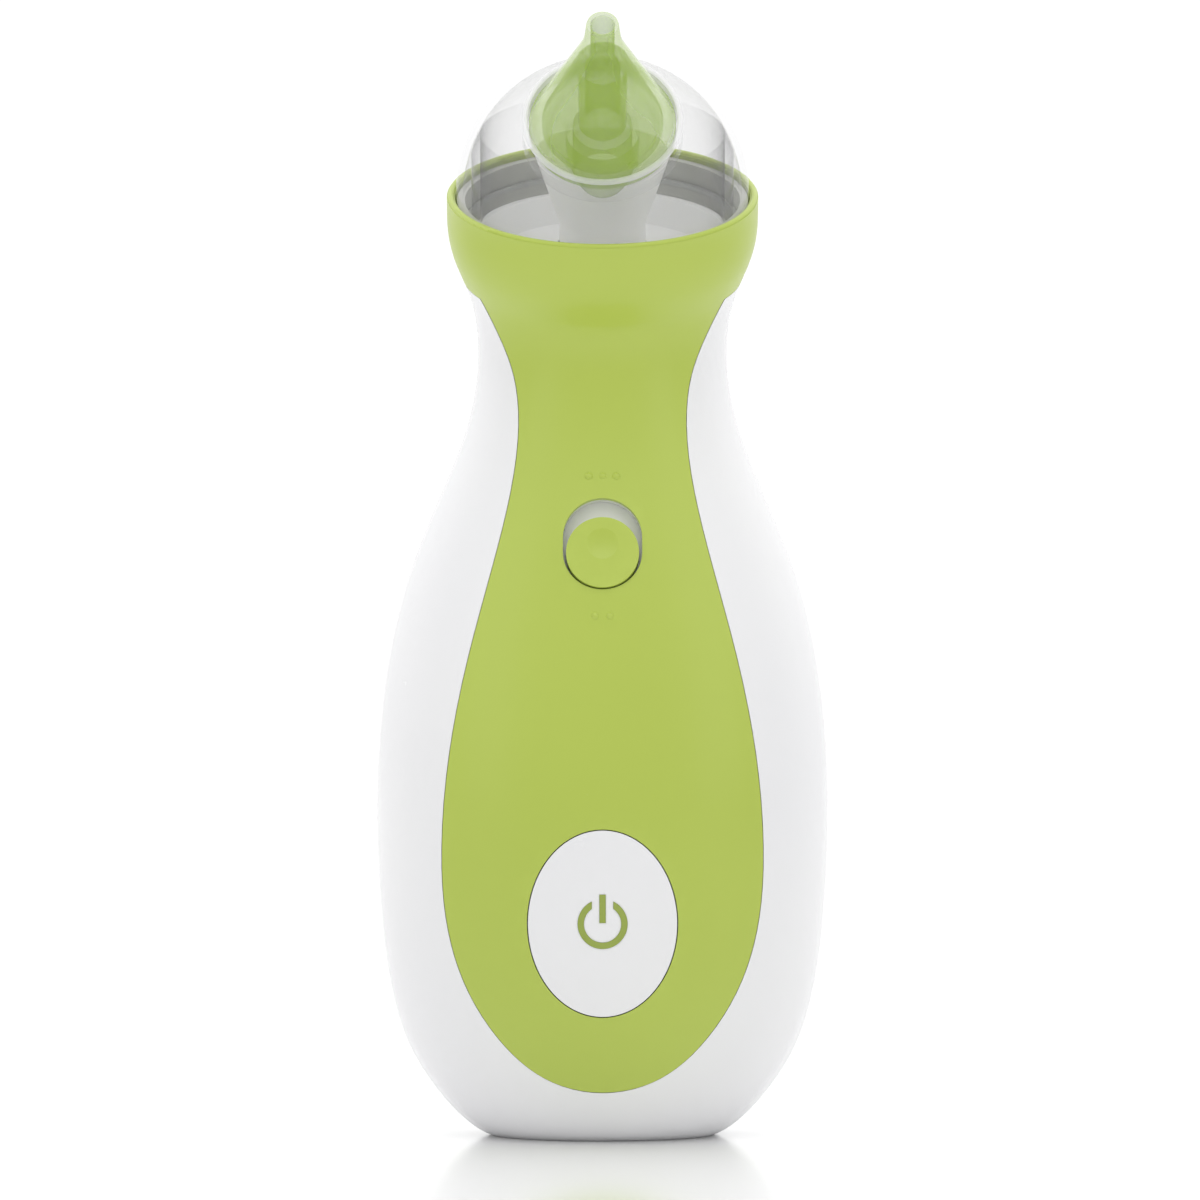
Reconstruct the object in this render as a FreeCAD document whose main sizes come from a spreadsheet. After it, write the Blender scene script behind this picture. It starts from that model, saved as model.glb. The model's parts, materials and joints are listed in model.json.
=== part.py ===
import FreeCAD, Part
import Sketcher
import math
import os

# A hand-held, battery-driven nasal aspirator: a bottle-shaped housing in two white halves, a green front
# panel whose collar holds a clear, removable head with a green nose cone, and inside it a motor-driven
# diaphragm pump. Millimetres, +Z up, front towards -Y, origin in the middle of the foot it stands on.

V = FreeCAD.Vector
Rotation = FreeCAD.Rotation
Placement = FreeCAD.Placement
X_AXIS = V(1, 0, 0)
Y_AXIS = V(0, 1, 0)

doc = FreeCAD.newDocument("nasal_aspirator")
sheet = doc.addObject("Spreadsheet::Sheet", "Sizes")

# ---------------------------------------------------------------- driving dimensions

DRIVING = {
    "wall": 2.6,                    # housing wall
    "panel_depth": 1.15,            # thickness of the front panel over the housing
    "fit_gap": 0.10,                # gap between the panel and its recess
    "head_y": -2.5,                 # centre of the round head
    "head_height": 168.2,
    "head_tilt": 20.0,              # the head leans forward by this angle
    "head_radius": 26.2,
    "head_wall": 1.3,
    "seat_radius": 26.35,           # the round seat that the collar offers to the head
    "rim_level": -0.3,              # collar's top plane, along the head's axis
    "collar_foot": -15.5,           # collar's lower border at the back
    "ledge_level": -5.0,            # collar is solid above this level
    "nose_tilt": 54.0,              # nose cone's axis, from upright
    "nose_reach": 21.45,            # cone's flange face, from the head's centre
    "flange_radius": 13.05,
    "flange_depth": 2.4,
    "cone_radius": 12.6,
    "cone_length": 22.4,
    "tube_root_radius": 3.7,
    "tip_radius": 2.9,
    "tip_length": 6.3,
    "tip_bore": 2.1,
    "stub_radius": 6.5,
    "stub_length": 14.0,
    "lip_radius": 14.25,            # raised ring round the cone's seat
    "sleeve_radius": 23.4,
    "sleeve_wall": 1.6,
    "column_radius": 8.2,
    "button_half_width": 13.15,
    "button_half_height": 16.5,
    "button_height": 39.5,          # centre of the oval push button
    "button_travel": 1.0,
    "opening_gap": 0.2,
    "slider_height": 106.4,         # centre of the slide switch's window
    "slider_front": -25.1,
    "slider_lean": 17.8,            # the front face leans back there
    "window_radius": 7.0,
    "window_half_run": 1.4,
    "knob_radius": 6.45,
    "cell_radius": 7.1,
    "cell_length": 49.3,
    "cell_pitch": 14.6,
    "cell_y": 12.0,
    "motor_y": 2.0,
    "motor_foot": 86.0,
    "motor_radius": 12.1,
    "motor_length": 30.8,
    "shaft_radius": 1.0,
    "throw": 0.6,                   # eccentric's offset, half the pump's stroke
    "board_y": -19.0,
    "board_thickness": 1.6,
    "door_half_width": 31.0,
    "door_foot": 22.5,
    "door_top": 91.0,
    "door_skin": 1.2,
}

# Sections of the housing from foot to rim: height, half width, half depth, shift along Y, forward lean.
SECTIONS = [
    (0.0, 19.8, 17.0, 0.0, 0.0),
    (2.5, 24.2, 21.0, 0.0, 0.0),
    (6.0, 27.8, 24.0, 0.0, 0.0),
    (12.0, 32.3, 27.3, 0.0, 0.0),
    (22.0, 36.7, 30.3, 0.0, 0.0),
    (36.0, 39.2, 32.2, 0.0, 0.0),
    (52.0, 40.25, 33.0, 0.0, 0.0),
    (68.0, 40.1, 32.6, 0.1, 0.0),
    (84.0, 38.4, 31.0, 0.5, 0.0),
    (100.0, 34.6, 28.3, 1.2, 0.0),
    (114.0, 29.2, 24.8, 2.2, 0.0),
    (126.0, 24.45, 22.2, 3.2, 2.0),
    (136.5, 22.4, 21.4, 3.9, 6.0),
    (145.0, 22.6, 22.0, 3.9, 12.0),
    (152.2, 24.4, 24.2, 3.3, 18.0),
    (156.9, 26.35, 26.25, 1.6, 20.0),
    (162.6, 27.7, 27.65, -0.45, 20.0),
    (167.92, 27.8, 27.75, -2.4, 20.0),
]
SECTION_KEYS = ("height", "half_width", "half_depth", "shift", "lean")

# The front panel's outline in the front view: (height, half width), from its foot up to the collar.
PANEL_OUTLINE = [
    (9.3, 0.0), (11.6, 9.9), (18.8, 18.4), (30.2, 25.1), (41.7, 27.9), (53.1, 28.4), (70.3, 26.9),
    (87.5, 23.4), (104.6, 18.8), (116.1, 16.1), (126.0, 14.9), (136.1, 15.8), (144.7, 19.2), (153.3, 24.1),
    (157.0, 27.2),
]


class Size:
    """A length with its value and the spreadsheet expression that it comes from."""

    def __init__(self, value, text):
        self.value = float(value)
        self.text = text

    def __float__(self):
        return self.value

    def __add__(self, other):
        return Size(self.value + float(other), f"({self.text} + {as_text(other)})")

    def __sub__(self, other):
        return Size(self.value - float(other), f"({self.text} - {as_text(other)})")

    def __mul__(self, other):
        return Size(self.value * float(other), f"({self.text} * {as_text(other)})")

    def __neg__(self):
        return self * -1


def as_text(number):
    """The expression behind a size, or a plain number as text."""
    return number.text if isinstance(number, Size) else repr(float(number))


def fill_sheet():
    """Writes every driving dimension into the spreadsheet, each under its alias."""
    row = 1
    for alias, number in DRIVING.items():
        sheet.set(f"A{row}", alias)
        sheet.set(f"B{row}", str(number))
        sheet.setAlias(f"B{row}", alias)
        row += 1
    for index, numbers in enumerate(SECTIONS):
        for key, number in zip(SECTION_KEYS, numbers):
            alias = f"section_{index:02d}_{key}"
            sheet.set(f"A{row}", alias)
            sheet.set(f"B{row}", str(number))
            sheet.setAlias(f"B{row}", alias)
            row += 1
    doc.recompute()


def dim(alias):
    """The driving dimension of that name."""
    return Size(sheet.get(alias), f"Sizes.{alias}")


fill_sheet()

HEAD_CENTRE = V(0, float(dim("head_y")), float(dim("head_height")))
HEAD_FRAME = Placement(HEAD_CENTRE, Rotation(X_AXIS, float(dim("head_tilt"))))
NOSE_TURN = Rotation(X_AXIS, float(dim("nose_tilt")))
NOSE_AXIS = NOSE_TURN.multVec(V(0, 0, 1))
NOSE_FRAME = Placement(HEAD_CENTRE, NOSE_TURN)          # along the cone's axis, from the head's centre
SWITCH_FRAME = Placement(V(0, float(dim("slider_front")), float(dim("slider_height"))),
                         Rotation(X_AXIS, -float(dim("slider_lean"))))  # +Y inward, +Z along the slider's run
ALONG_Y = Rotation(X_AXIS, -90)                                      # turns a primitive's +Z to +Y
ALONG_X = Rotation(Y_AXIS, 90)

pieces = []


# ---------------------------------------------------------------- small building tools

def bind(item, **sizes):
    """Binds an object's sizes to the sheet."""
    for key, size in sizes.items():
        if isinstance(size, Size):
            item.setExpression(key, size.text)
        else:
            setattr(item, key, size)


def put(item, at=(0, 0, 0), turn=None, frame=None):
    """Places an object at a point, turned, within a frame."""
    local = Placement(V(*[float(c) for c in at]), turn or Rotation())
    item.Placement = frame.multiply(local) if frame else local
    if frame is None:
        for axis, size in zip("xyz", at):
            if isinstance(size, Size):
                item.setExpression(f"Placement.Base.{axis}", size.text)
    return item


def cylinder(name, radius, height, at=(0, 0, 0), turn=None, frame=None):
    item = doc.addObject("Part::Cylinder", name)
    bind(item, Radius=radius, Height=height)
    return put(item, at, turn, frame)


def cone(name, low, high, height, at=(0, 0, 0), turn=None, frame=None):
    item = doc.addObject("Part::Cone", name)
    bind(item, Radius1=low, Radius2=high, Height=height)
    return put(item, at, turn, frame)


def ball(name, radius, at=(0, 0, 0), frame=None):
    item = doc.addObject("Part::Sphere", name)
    bind(item, Radius=radius)
    return put(item, at, None, frame)


def ring(name, radius, thickness, at=(0, 0, 0), turn=None, frame=None):
    item = doc.addObject("Part::Torus", name)
    bind(item, Radius1=radius, Radius2=thickness)
    return put(item, at, turn, frame)


def box(name, low, high, frame=None):
    """A box between two corners."""
    item = doc.addObject("Part::Box", name)
    for key, a, b in zip(("Length", "Width", "Height"), low, high):
        if isinstance(a, Size) or isinstance(b, Size):
            item.setExpression(key, f"{as_text(b)} - {as_text(a)}")
        else:
            setattr(item, key, b - a)
    return put(item, low, None, frame)


def fuse(name, *items):
    item = doc.addObject("Part::MultiFuse", name)
    item.Shapes = list(items)
    return item


def cut(name, base, *tools):
    """The base less every tool."""
    for index, tool in enumerate(tools):
        item = doc.addObject("Part::Cut", name if index == len(tools) - 1 else f"{name}_less_{index}")
        item.Base = base
        item.Tool = tool
        base = item
    return base


def common(name, *items):
    item = doc.addObject("Part::MultiCommon", name)
    item.Shapes = list(items)
    return item


def tube(name, outer, inner, height, at=(0, 0, 0), turn=None, frame=None):
    """A round tube, with its bore cut through."""
    return cut(name, cylinder(f"{name}_outside", outer, height, at, turn, frame),
               cylinder(f"{name}_bore", inner, height, at, turn, frame))


def oval(name, half_width, half_height, low_y, high_y, height):
    """An oval prism along Y."""
    outline = doc.addObject("Part::Ellipse", f"{name}_outline")
    bind(outline, MajorRadius=half_height, MinorRadius=half_width)
    put(outline, (0, low_y, height), Rotation(V(0, 0, 1), X_AXIS, Y_AXIS, "XYZ"))
    item = doc.addObject("Part::Extrusion", name)
    item.Base = outline
    item.DirMode = "Custom"
    item.Dir = Y_AXIS
    item.LengthFwd = high_y - low_y
    item.Solid = True
    return item


def stadium(name, radius, half_run, low_y, high_y, centre=0.0, frame=SWITCH_FRAME):
    """A prism with round ends, its long side along the slider's run."""
    depth = high_y - low_y
    ends = [cylinder(f"{name}_end", radius, depth, (0, low_y, centre + side * float(half_run)), ALONG_Y, frame)
            for side in (-1, 1)]
    middle = box(f"{name}_middle", (-float(radius), low_y, centre - float(half_run)),
                 (float(radius), high_y, centre + float(half_run)), frame)
    return fuse(name, middle, *ends)


def rounded_bar(name, half_width, low, high, corner, low_y, high_y):
    """A prism along Y with four round corners."""
    upright = box(f"{name}_upright", (corner - half_width, low_y, low), (half_width - corner, high_y, high))
    across = box(f"{name}_across", (-half_width, low_y, low + corner), (half_width, high_y, high - corner))
    depth = high_y - low_y
    corners = [cylinder(f"{name}_corner", corner, depth, (side * (half_width - corner), low_y, z), ALONG_Y)
               for side in (-1, 1) for z in (low + corner, high - corner)]
    return fuse(name, upright, across, *corners)


def smooth_path(points):
    """Straight runs joined by tangent arcs, as large as the two runs at each point allow."""
    corners = [V(*p) for p in points]
    edges = []
    start = corners[0]
    for before, corner, after in zip(corners, corners[1:], corners[2:]):
        back = (before - corner).normalize()
        on = (after - corner).normalize()
        turn = math.pi - back.getAngle(on)
        shorter = min((before - corner).Length, (after - corner).Length)
        reach = 0.45 * shorter
        radius = reach / math.tan(turn / 2)
        first = corner + back * reach
        last = corner + on * reach
        middle_way = (back + on).normalize()
        middle = corner + middle_way * (radius / math.cos(turn / 2) - radius)
        edges.append(Part.LineSegment(start, first).toShape())
        edges.append(Part.Arc(first, middle, last).toShape())
        start = last
    edges.append(Part.LineSegment(start, corners[-1]).toShape())
    return Part.Wire(edges)


def swept(path, radius):
    """A round solid along a path."""
    start = path.Edges[0]
    direction = start.tangentAt(start.FirstParameter)
    circle = Part.Wire(Part.makeCircle(radius, start.valueAt(start.FirstParameter), direction))
    return path.makePipeShell([circle], True, True)


def drawn(name, shape):
    """An object that holds a shape made with Part's own functions."""
    item = doc.addObject("Part::Feature", name)
    item.Shape = shape
    return item


def coil(name, radius, wire, pitch, height, at, turn=None):
    """A round-wire coil spring."""
    helix = Part.makeLongHelix(pitch, height, radius)
    section = Part.Wire(Part.makeCircle(wire, V(radius, 0, 0), Y_AXIS))
    item = drawn(name, Part.Wire(helix.Edges).makePipeShell([section], True, True))
    return put(item, at, turn)


def piece(label, item, frame=None):
    """Registers a finished sub-part under the name that its file gets."""
    item.Label = label
    if frame:
        item.Placement = frame
    pieces.append(item)
    return item


def profile_body(name, corners, plane="XZ_Plane"):
    """A body turned about its own Z axis from a closed profile of corners, all bound to the sheet."""
    body = doc.addObject("PartDesign::Body", name)
    sketch = body.newObject("Sketcher::SketchObject", f"{name}_profile")
    origin = [o for o in body.Origin.OriginFeatures if o.Role == plane][0]
    sketch.AttachmentSupport = [(origin, "")]
    sketch.MapMode = "FlatFace"
    places = [V(float(r), float(h), 0) for r, h in corners]
    count = len(places)
    for index, place in enumerate(places):
        sketch.addGeometry(Part.LineSegment(place, places[(index + 1) % count]), False)
    for index in range(count):
        sketch.addConstraint(Sketcher.Constraint("Coincident", index, 2, (index + 1) % count, 1))
    for index, (r, h) in enumerate(corners):
        for kind, number in (("DistanceX", r), ("DistanceY", h)):
            if abs(float(number)) < 1e-9:
                axis = -2 if kind == "DistanceX" else -1
                sketch.addConstraint(Sketcher.Constraint("PointOnObject", index, 1, axis))
                continue
            made = sketch.addConstraint(Sketcher.Constraint(kind, -1, 1, index, 1, float(number)))
            if isinstance(number, Size):
                sketch.setExpression(f"Constraints[{made}]", number.text)
    turned = body.newObject("PartDesign::Revolution", f"{name}_turned")
    turned.Profile = sketch
    turned.ReferenceAxis = (sketch, ["V_Axis"])
    turned.Angle = 360
    body.Tip = turned
    return body


# ---------------------------------------------------------------- the bottle-shaped skins

def inward(index):
    """How far a section moves in and along its axis for each millimetre of inset."""
    low, high = max(index - 1, 0), min(index + 1, len(SECTIONS) - 1)
    rise = SECTIONS[high][0] - SECTIONS[low][0]
    grow = SECTIONS[high][1] - SECTIONS[low][1]
    slope = math.hypot(rise, grow)
    return rise / slope, grow / slope


def skin(name, inset):
    """The housing's outer form, drawn in by an inset."""
    rings = []
    for index, numbers in enumerate(SECTIONS):
        key = f"section_{index:02d}_"
        shrink, lift = inward(index)
        section = doc.addObject("Part::Ellipse", f"{name}_ring")
        bind(section, MajorRadius=dim(key + "half_width") - inset * shrink,
             MinorRadius=dim(key + "half_depth") - inset * shrink)
        lean = math.radians(numbers[4])
        put(section, (0, dim(key + "shift") - inset * lift * math.sin(lean),
                      dim(key + "height") + inset * lift * math.cos(lean)), Rotation(X_AXIS, numbers[4]))
        rings.append(section)
    item = doc.addObject("Part::Loft", name)
    item.Sections = rings
    item.Solid = True
    item.Ruled = False
    return item


WALL = float(dim("wall"))
PANEL_DEPTH = float(dim("panel_depth"))
GAP = float(dim("fit_gap"))
INSIDE_GAP = 0.15

outer_skin = skin("outer_skin", 0.0)
panel_back = skin("panel_back", PANEL_DEPTH)
recess_floor = skin("recess_floor", PANEL_DEPTH + GAP)
inner_skin = skin("inner_skin", WALL)
inside_room = skin("inside_room", WALL + INSIDE_GAP)


def panel_zone(name, gap):
    """What the panel and its collar cover: the outline's prism in front, and all above the collar's foot."""
    right = [V(w + gap, 0, h) for h, w in PANEL_OUTLINE[1:]]
    left = [V(-p.x, 0, p.z) for p in reversed(right)]
    foot_height, _ = PANEL_OUTLINE[0]
    outline = Part.BSplineCurve()
    outline.interpolate(left + [V(0, 0, foot_height - gap)] + right)
    roof = 200.0
    corner_a, corner_b = V(right[-1].x, 0, roof), V(left[0].x, 0, roof)
    wire = Part.Wire([outline.toShape(), Part.LineSegment(right[-1], corner_a).toShape(),
                      Part.LineSegment(corner_a, corner_b).toShape(),
                      Part.LineSegment(corner_b, left[0]).toShape()])
    front = drawn(f"{name}_front", Part.Face(wire).extrude(V(0, 64, 0)))
    front.Placement = Placement(V(0, -60, 0), Rotation())
    above = box(f"{name}_above", (-50, -60, float(dim("collar_foot")) - gap), (50, 60, 60), HEAD_FRAME)
    return fuse(name, front, above)


def seat_ball(name):
    """The round room that the head takes in the collar."""
    return ball(name, dim("seat_radius"), (0, 0, 0), HEAD_FRAME)


def level_up(name, level):
    """Everything above a level along the head's axis."""
    return box(name, (-60, -60, level), (60, 60, 90), HEAD_FRAME)


# ---------------------------------------------------------------- front panel and housing halves

def button_hole(name):
    gap = float(dim("opening_gap"))
    return oval(name, dim("button_half_width") + gap, dim("button_half_height") + gap, -45.0, -20.0,
                dim("button_height"))


def slider_window(name):
    return stadium(name, dim("window_radius"), dim("window_half_run"), -8.0, 6.0)


LEDGE = float(dim("ledge_level"))

symbol_top = skin("symbol_top", -0.12)          # the on-off symbol rises this much over the button
doc.recompute()
front_blank = common("front_blank", outer_skin, panel_zone("panel_area", 0.0))
panel_hollow = cut("panel_hollow", panel_back, level_up("above_ledge", LEDGE))
panel_cut = cut("panel_cut", front_blank, panel_hollow, seat_ball("panel_seat"),
                button_hole("panel_button_hole"), slider_window("panel_window"))


def front_y(height):
    """Where the housing's front lies on the centre line at a height."""
    ray = Part.makeLine(V(0, -60, height), V(0, 0, height))
    return outer_skin.Shape.common(ray).BoundBox.YMin


RIM = float(dim("rim_level"))
LIP_MAJOR = 27.07          # bead round the collar's top
LIP_MINOR = 0.6
LEVEL_MARKS = [(118.1, (-2.4, 0.0, 2.4)), (93.6, (-1.3, 1.3))]
raised_marks = [ball("level_mark", 0.8, (x, front_y(height) + 0.5, height)) for height, across in LEVEL_MARKS
                for x in across]
lip_bead = common("lip_bead", ring("lip_ring", LIP_MAJOR, LIP_MINOR, (0, 0, RIM), None, HEAD_FRAME),
                  level_up("lip_zone_up", RIM - 0.05))
piece("front_panel", fuse("front_panel", panel_cut, lip_bead, *raised_marks))

DOOR_HALF = float(dim("door_half_width"))
DOOR_FOOT = float(dim("door_foot"))
DOOR_TOP = float(dim("door_top"))
DOOR_SKIN = float(dim("door_skin"))
DOOR_GAP = 0.2
LEDGE_WIDTH = 1.7
HATCH_TOP = 81.3
DOOR_CORNER = 4.5
HATCH_CORNER = 1.6         # small, so that the cells' corners pass it
SCREW_HEIGHT = 86.2
CUP_RADIUS = 4.2
CUP_FOOT = 27.7
SIDE_SCREWS = [(side * 22.0, height) for side in (-1, 1) for height in (31.0, 74.0)]
SIDE_SCREW_FACE = -23.4


def door_zone(name, gap):
    return rounded_bar(name, DOOR_HALF + gap, DOOR_FOOT - gap, DOOR_TOP + gap, DOOR_CORNER, 4.0, 50.0)


def hatch_zone(name, gap):
    return rounded_bar(name, DOOR_HALF - LEDGE_WIDTH + gap, DOOR_FOOT + LEDGE_WIDTH - gap, HATCH_TOP + gap,
                       HATCH_CORNER + gap, 4.0, 50.0)


def vent_slots():
    """Exhaust slots in the back, in two columns beside the seam."""
    slots = []
    for side in (-1, 1):
        for row in range(4):
            height = 99.0 + 4.6 * row
            slots.append(box("vent", (min(side * 3.0, side * 11.0), 14.0, height),
                             (max(side * 3.0, side * 11.0), 40.0, height + 1.6)))
    return fuse("vents", *slots)


def housing():
    """Both halves in one, before the split."""
    shell = cut("shell_wall", outer_skin, inner_skin)
    recess = cut("panel_recess", panel_zone("recess_area", GAP), recess_floor)
    bosses = common("screw_bosses", skin("boss_root", WALL - 0.3), fuse("boss_rods", *[
        cylinder("boss_rod", 4.3, 12.0, (x, -31.0, z), ALONG_Y) for x, z in SIDE_SCREWS]))
    body = fuse("shell_and_bosses", shell, bosses)
    door_pocket = cut("door_pocket", door_zone("door_pocket_area", DOOR_GAP),
                      skin("door_ledge", DOOR_SKIN + 0.1))
    head_bores = fuse("head_bores", *[
        cylinder("head_bore", 2.8, 12.0, (x, SIDE_SCREW_FACE - 10.6, z), ALONG_Y) for x, z in SIDE_SCREWS])
    shank_bores = fuse("shank_bores", *[
        cylinder("shank_bore", 1.45, 8.0, (x, SIDE_SCREW_FACE, z), ALONG_Y) for x, z in SIDE_SCREWS])
    cup_hole = cylinder("cup_hole", CUP_RADIUS + 0.2, 16.0, (0, 20.0, SCREW_HEIGHT), ALONG_Y)
    return cut("housing_whole", body, recess, level_up("above_shell", LEDGE - 0.2), seat_ball("shell_seat"),
               button_hole("shell_button_hole"), slider_window("shell_window"), door_pocket,
               hatch_zone("hatch", 0.0), head_bores, shank_bores, cup_hole, vent_slots())


whole = housing()
left_side = box("left_side", (-60, -60, -5), (0, 60, 190))
left_half = piece("housing_left", common("housing_left", whole, left_side))
right_half = doc.addObject("Part::Mirroring", "housing_right")
right_half.Source = left_half
right_half.Normal = X_AXIS
piece("housing_right", right_half)


# ---------------------------------------------------------------- the removable head

SKIRT_FOOT = -4.6
BORDER = -0.9              # level where the bowl ends and the dome begins
SEAL_FOOT = -5.55


def head_dome():
    """Clear hemisphere with a socket for the nose cone and a short skirt that goes into the base bowl."""
    radius, thick = dim("head_radius"), dim("head_wall")
    upper = level_up("dome_upper", BORDER + 0.1)
    outside = common("dome_outside", ball("dome_ball", radius, frame=HEAD_FRAME), upper)
    skirt = cylinder("dome_skirt", 24.4, 4.4, (0, 0, SKIRT_FOOT), None, HEAD_FRAME)
    shoulder = cylinder("skirt_shoulder", 25.4, 1.2, (0, 0, BORDER + 0.1), None, HEAD_FRAME)
    boss_zone = cylinder("lip_zone", dim("lip_radius"), 14.0, (0, 0, 16.9), None, NOSE_FRAME)
    boss = common("dome_boss", ball("lip_ball", radius + 0.35, frame=HEAD_FRAME), boss_zone)
    collar = cylinder("stub_collar", 8.0, 3.2, (0, 0, 14.4), None, NOSE_FRAME)
    room = common("dome_room", ball("dome_inside", radius - thick, frame=HEAD_FRAME), upper)
    hollow = cut("dome_hollow", room, boss_zone, collar)
    throat = cylinder("skirt_throat", 23.65, 8.0, (0, 0, -6.0), None, HEAD_FRAME)
    throat_clear = cut("throat_clear", throat, boss_zone, collar)
    seat = dim("flange_radius") + 0.2
    counterbore = cylinder("cone_counterbore", seat, 12.0, (0, 0, 18.95), None, NOSE_FRAME)
    bore = cylinder("stub_bore", dim("stub_radius") + 0.1, 16.0, (0, 0, 10.0), None, NOSE_FRAME)
    shell = cut("dome_shell", fuse("dome_solid", outside, boss, collar), hollow)
    return cut("head_dome", fuse("dome_and_skirt", shell, skirt, shoulder), throat_clear, counterbore, bore)


def nose_cone():
    """The green nose piece: flange, cone, tapered tip, and a stub that plugs into the dome."""
    face = 0.0
    back = -dim("flange_depth")
    length = dim("cone_length")
    tip = length + dim("tip_length")
    shell = 1.2
    lip = 0.7
    return profile_body("nose_cone", [
        (dim("tip_bore"), tip),
        (dim("tip_radius") - lip, tip),
        (dim("tip_radius"), tip - lip),
        (dim("tube_root_radius"), length),
        (dim("cone_radius"), face + 0.35),
        (dim("flange_radius"), face),
        (dim("flange_radius"), back),
        (dim("stub_radius"), back),
        (dim("stub_radius"), back - dim("stub_length") + 0.5),
        (dim("stub_radius") - 0.5, back - dim("stub_length")),
        (dim("stub_radius") - shell, back - dim("stub_length")),
        (dim("stub_radius") - shell, back + 1.4),
        (dim("cone_radius") - 1.9, back + 1.4),
        (dim("cone_radius") - 1.9, face + 0.6),
        (4.6, length - 5.0),
        (4.3, length - 5.2),
        (4.3, 0.2),
        (3.1, 0.2),
        (3.1, length - 6.0),
        (dim("tip_bore"), length - 3.5),
    ])


def sleeve():
    """Clear wall round the collecting room, shaped to the dome's inside and notched under the cone's socket."""
    radius, thick = dim("sleeve_radius"), dim("sleeve_wall")
    blank = common("sleeve_blank", ball("sleeve_ball", 24.7, frame=HEAD_FRAME),
                   tube("sleeve_tube", radius, radius - thick, 32.0, (0, 0, -6.2), None, HEAD_FRAME))
    notch = cylinder("sleeve_notch", dim("lip_radius") + 0.4, 20.0, (0, 0, 16.6), None, NOSE_FRAME)
    return cut("sleeve", blank, notch)


FLOOR = -13.35
FILTER_RADIUS = 2.65


def funnel():
    """Frosted insert: a floor that fills the bowl and a column that widens to a mouth under the nose cone."""
    radius = dim("column_radius")
    floor = common("funnel_floor", ball("floor_ball", 24.3, frame=HEAD_FRAME),
                   cylinder("floor_disc", 23.0, 1.3, (0, 0, FLOOR), None, HEAD_FRAME))
    rim = common("floor_rim", ball("rim_ball", 24.3, frame=HEAD_FRAME),
                 tube("rim_tube", 23.2, 20.4, 6.0, (0, 0, FLOOR), None, HEAD_FRAME))
    rim_hollow = ball("rim_hollow", 23.2, frame=HEAD_FRAME)
    column = cylinder("column", radius - 0.5, 9.0, (0, 0, FLOOR), None, HEAD_FRAME)
    flare = cone("flare", radius - 0.5, radius + 4.2, 14.0, (0, 0, FLOOR + 8.0), None, HEAD_FRAME)
    bore = cylinder("column_bore", radius - 1.7, 9.0, (0, 0, FLOOR + 1.3), None, HEAD_FRAME)
    flare_bore = cone("flare_bore", radius - 1.7, radius + 3.3, 14.2, (0, 0, FLOOR + 8.0), None, HEAD_FRAME)
    windows = [box("drain", (-2.6, 0, FLOOR + 1.3), (2.6, 12, FLOOR + 5.0), HEAD_FRAME),
               box("drain", (-12, -2.6, FLOOR + 1.3), (12, 2.6, FLOOR + 5.0), HEAD_FRAME)]
    clear_of_pipe = cylinder("pipe_pass", FILTER_RADIUS + 0.35, 6.0, (0, PIPE_BACK, FLOOR - 2.0), None,
                             HEAD_FRAME)
    ribbon = cut("floor_edge", rim, rim_hollow)
    stub_way = cylinder("stub_way", 7.0, 30.0, (0, 0, 4.4), None, NOSE_FRAME)
    collar_way = cylinder("collar_way", 8.4, 20.0, (0, 0, 13.8), None, NOSE_FRAME)
    return cut("funnel", fuse("funnel_solid", floor, ribbon, column, flare), bore, flare_bore, *windows,
               clear_of_pipe, stub_way, collar_way)


PIPE_BACK = 11.2          # the air pipe stands behind the column
PIPE_RADIUS = 2.2
PIPE_BORE = 1.5
PIPE_TOP = -5.2
BOWL_RADIUS = 26.0
BOWL_INSIDE = 24.6
BOWL_FOOT = -15.0


def head_base():
    """Smoke-grey bowl under the head, with the air pipe inside and its spigot below."""
    below = box("bowl_zone", (-40, -40, BOWL_FOOT), (40, 40, BORDER - 0.1), HEAD_FRAME)
    bowl = common("bowl_outside", ball("bowl_ball", BOWL_RADIUS, frame=HEAD_FRAME), below)
    room = common("bowl_room", ball("bowl_inside", BOWL_INSIDE, frame=HEAD_FRAME),
                  box("bowl_room_zone", (-40, -40, BOWL_FOOT + 1.6), (40, 40, 5), HEAD_FRAME))
    seat = cylinder("skirt_seat", 24.55, 6.0, (0, 0, SEAL_FOOT - 0.05), None, HEAD_FRAME)
    pipe = cylinder("air_pipe", PIPE_RADIUS, PIPE_TOP - BOWL_FOOT - 0.5, (0, PIPE_BACK, BOWL_FOOT + 0.5), None,
                    HEAD_FRAME)
    spigot = cylinder("spigot", 3.6, 6.0, (0, PIPE_BACK, BOWL_FOOT - 5.0), None, HEAD_FRAME)
    bore = cylinder("air_bore", PIPE_BORE, 40.0, (0, PIPE_BACK, BOWL_FOOT - 10.0), None, HEAD_FRAME)
    return cut("head_base", fuse("base_solid", cut("bowl", bowl, room, seat), pipe, spigot), bore)


piece("head_dome", head_dome())
piece("nose_cone", nose_cone(), Placement(HEAD_CENTRE + NOSE_AXIS * float(dim("nose_reach")), NOSE_TURN))
piece("separator_sleeve", sleeve())
piece("separator_funnel", funnel())
piece("head_base", head_base())
piece("head_seal", tube("head_seal", 24.4, 23.8, 0.9, (0, 0, SEAL_FOOT), None, HEAD_FRAME))
filter_cap = cylinder("filter_cap", FILTER_RADIUS, 1.7, (0, PIPE_BACK, PIPE_TOP - 0.9), None, HEAD_FRAME)
filter_seat = cylinder("filter_seat", PIPE_RADIUS + 0.03, 2.0, (0, PIPE_BACK, PIPE_TOP - 1.98), None, HEAD_FRAME)
piece("air_filter", cut("air_filter", filter_cap, filter_seat))


# ---------------------------------------------------------------- socket deck under the head

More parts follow.
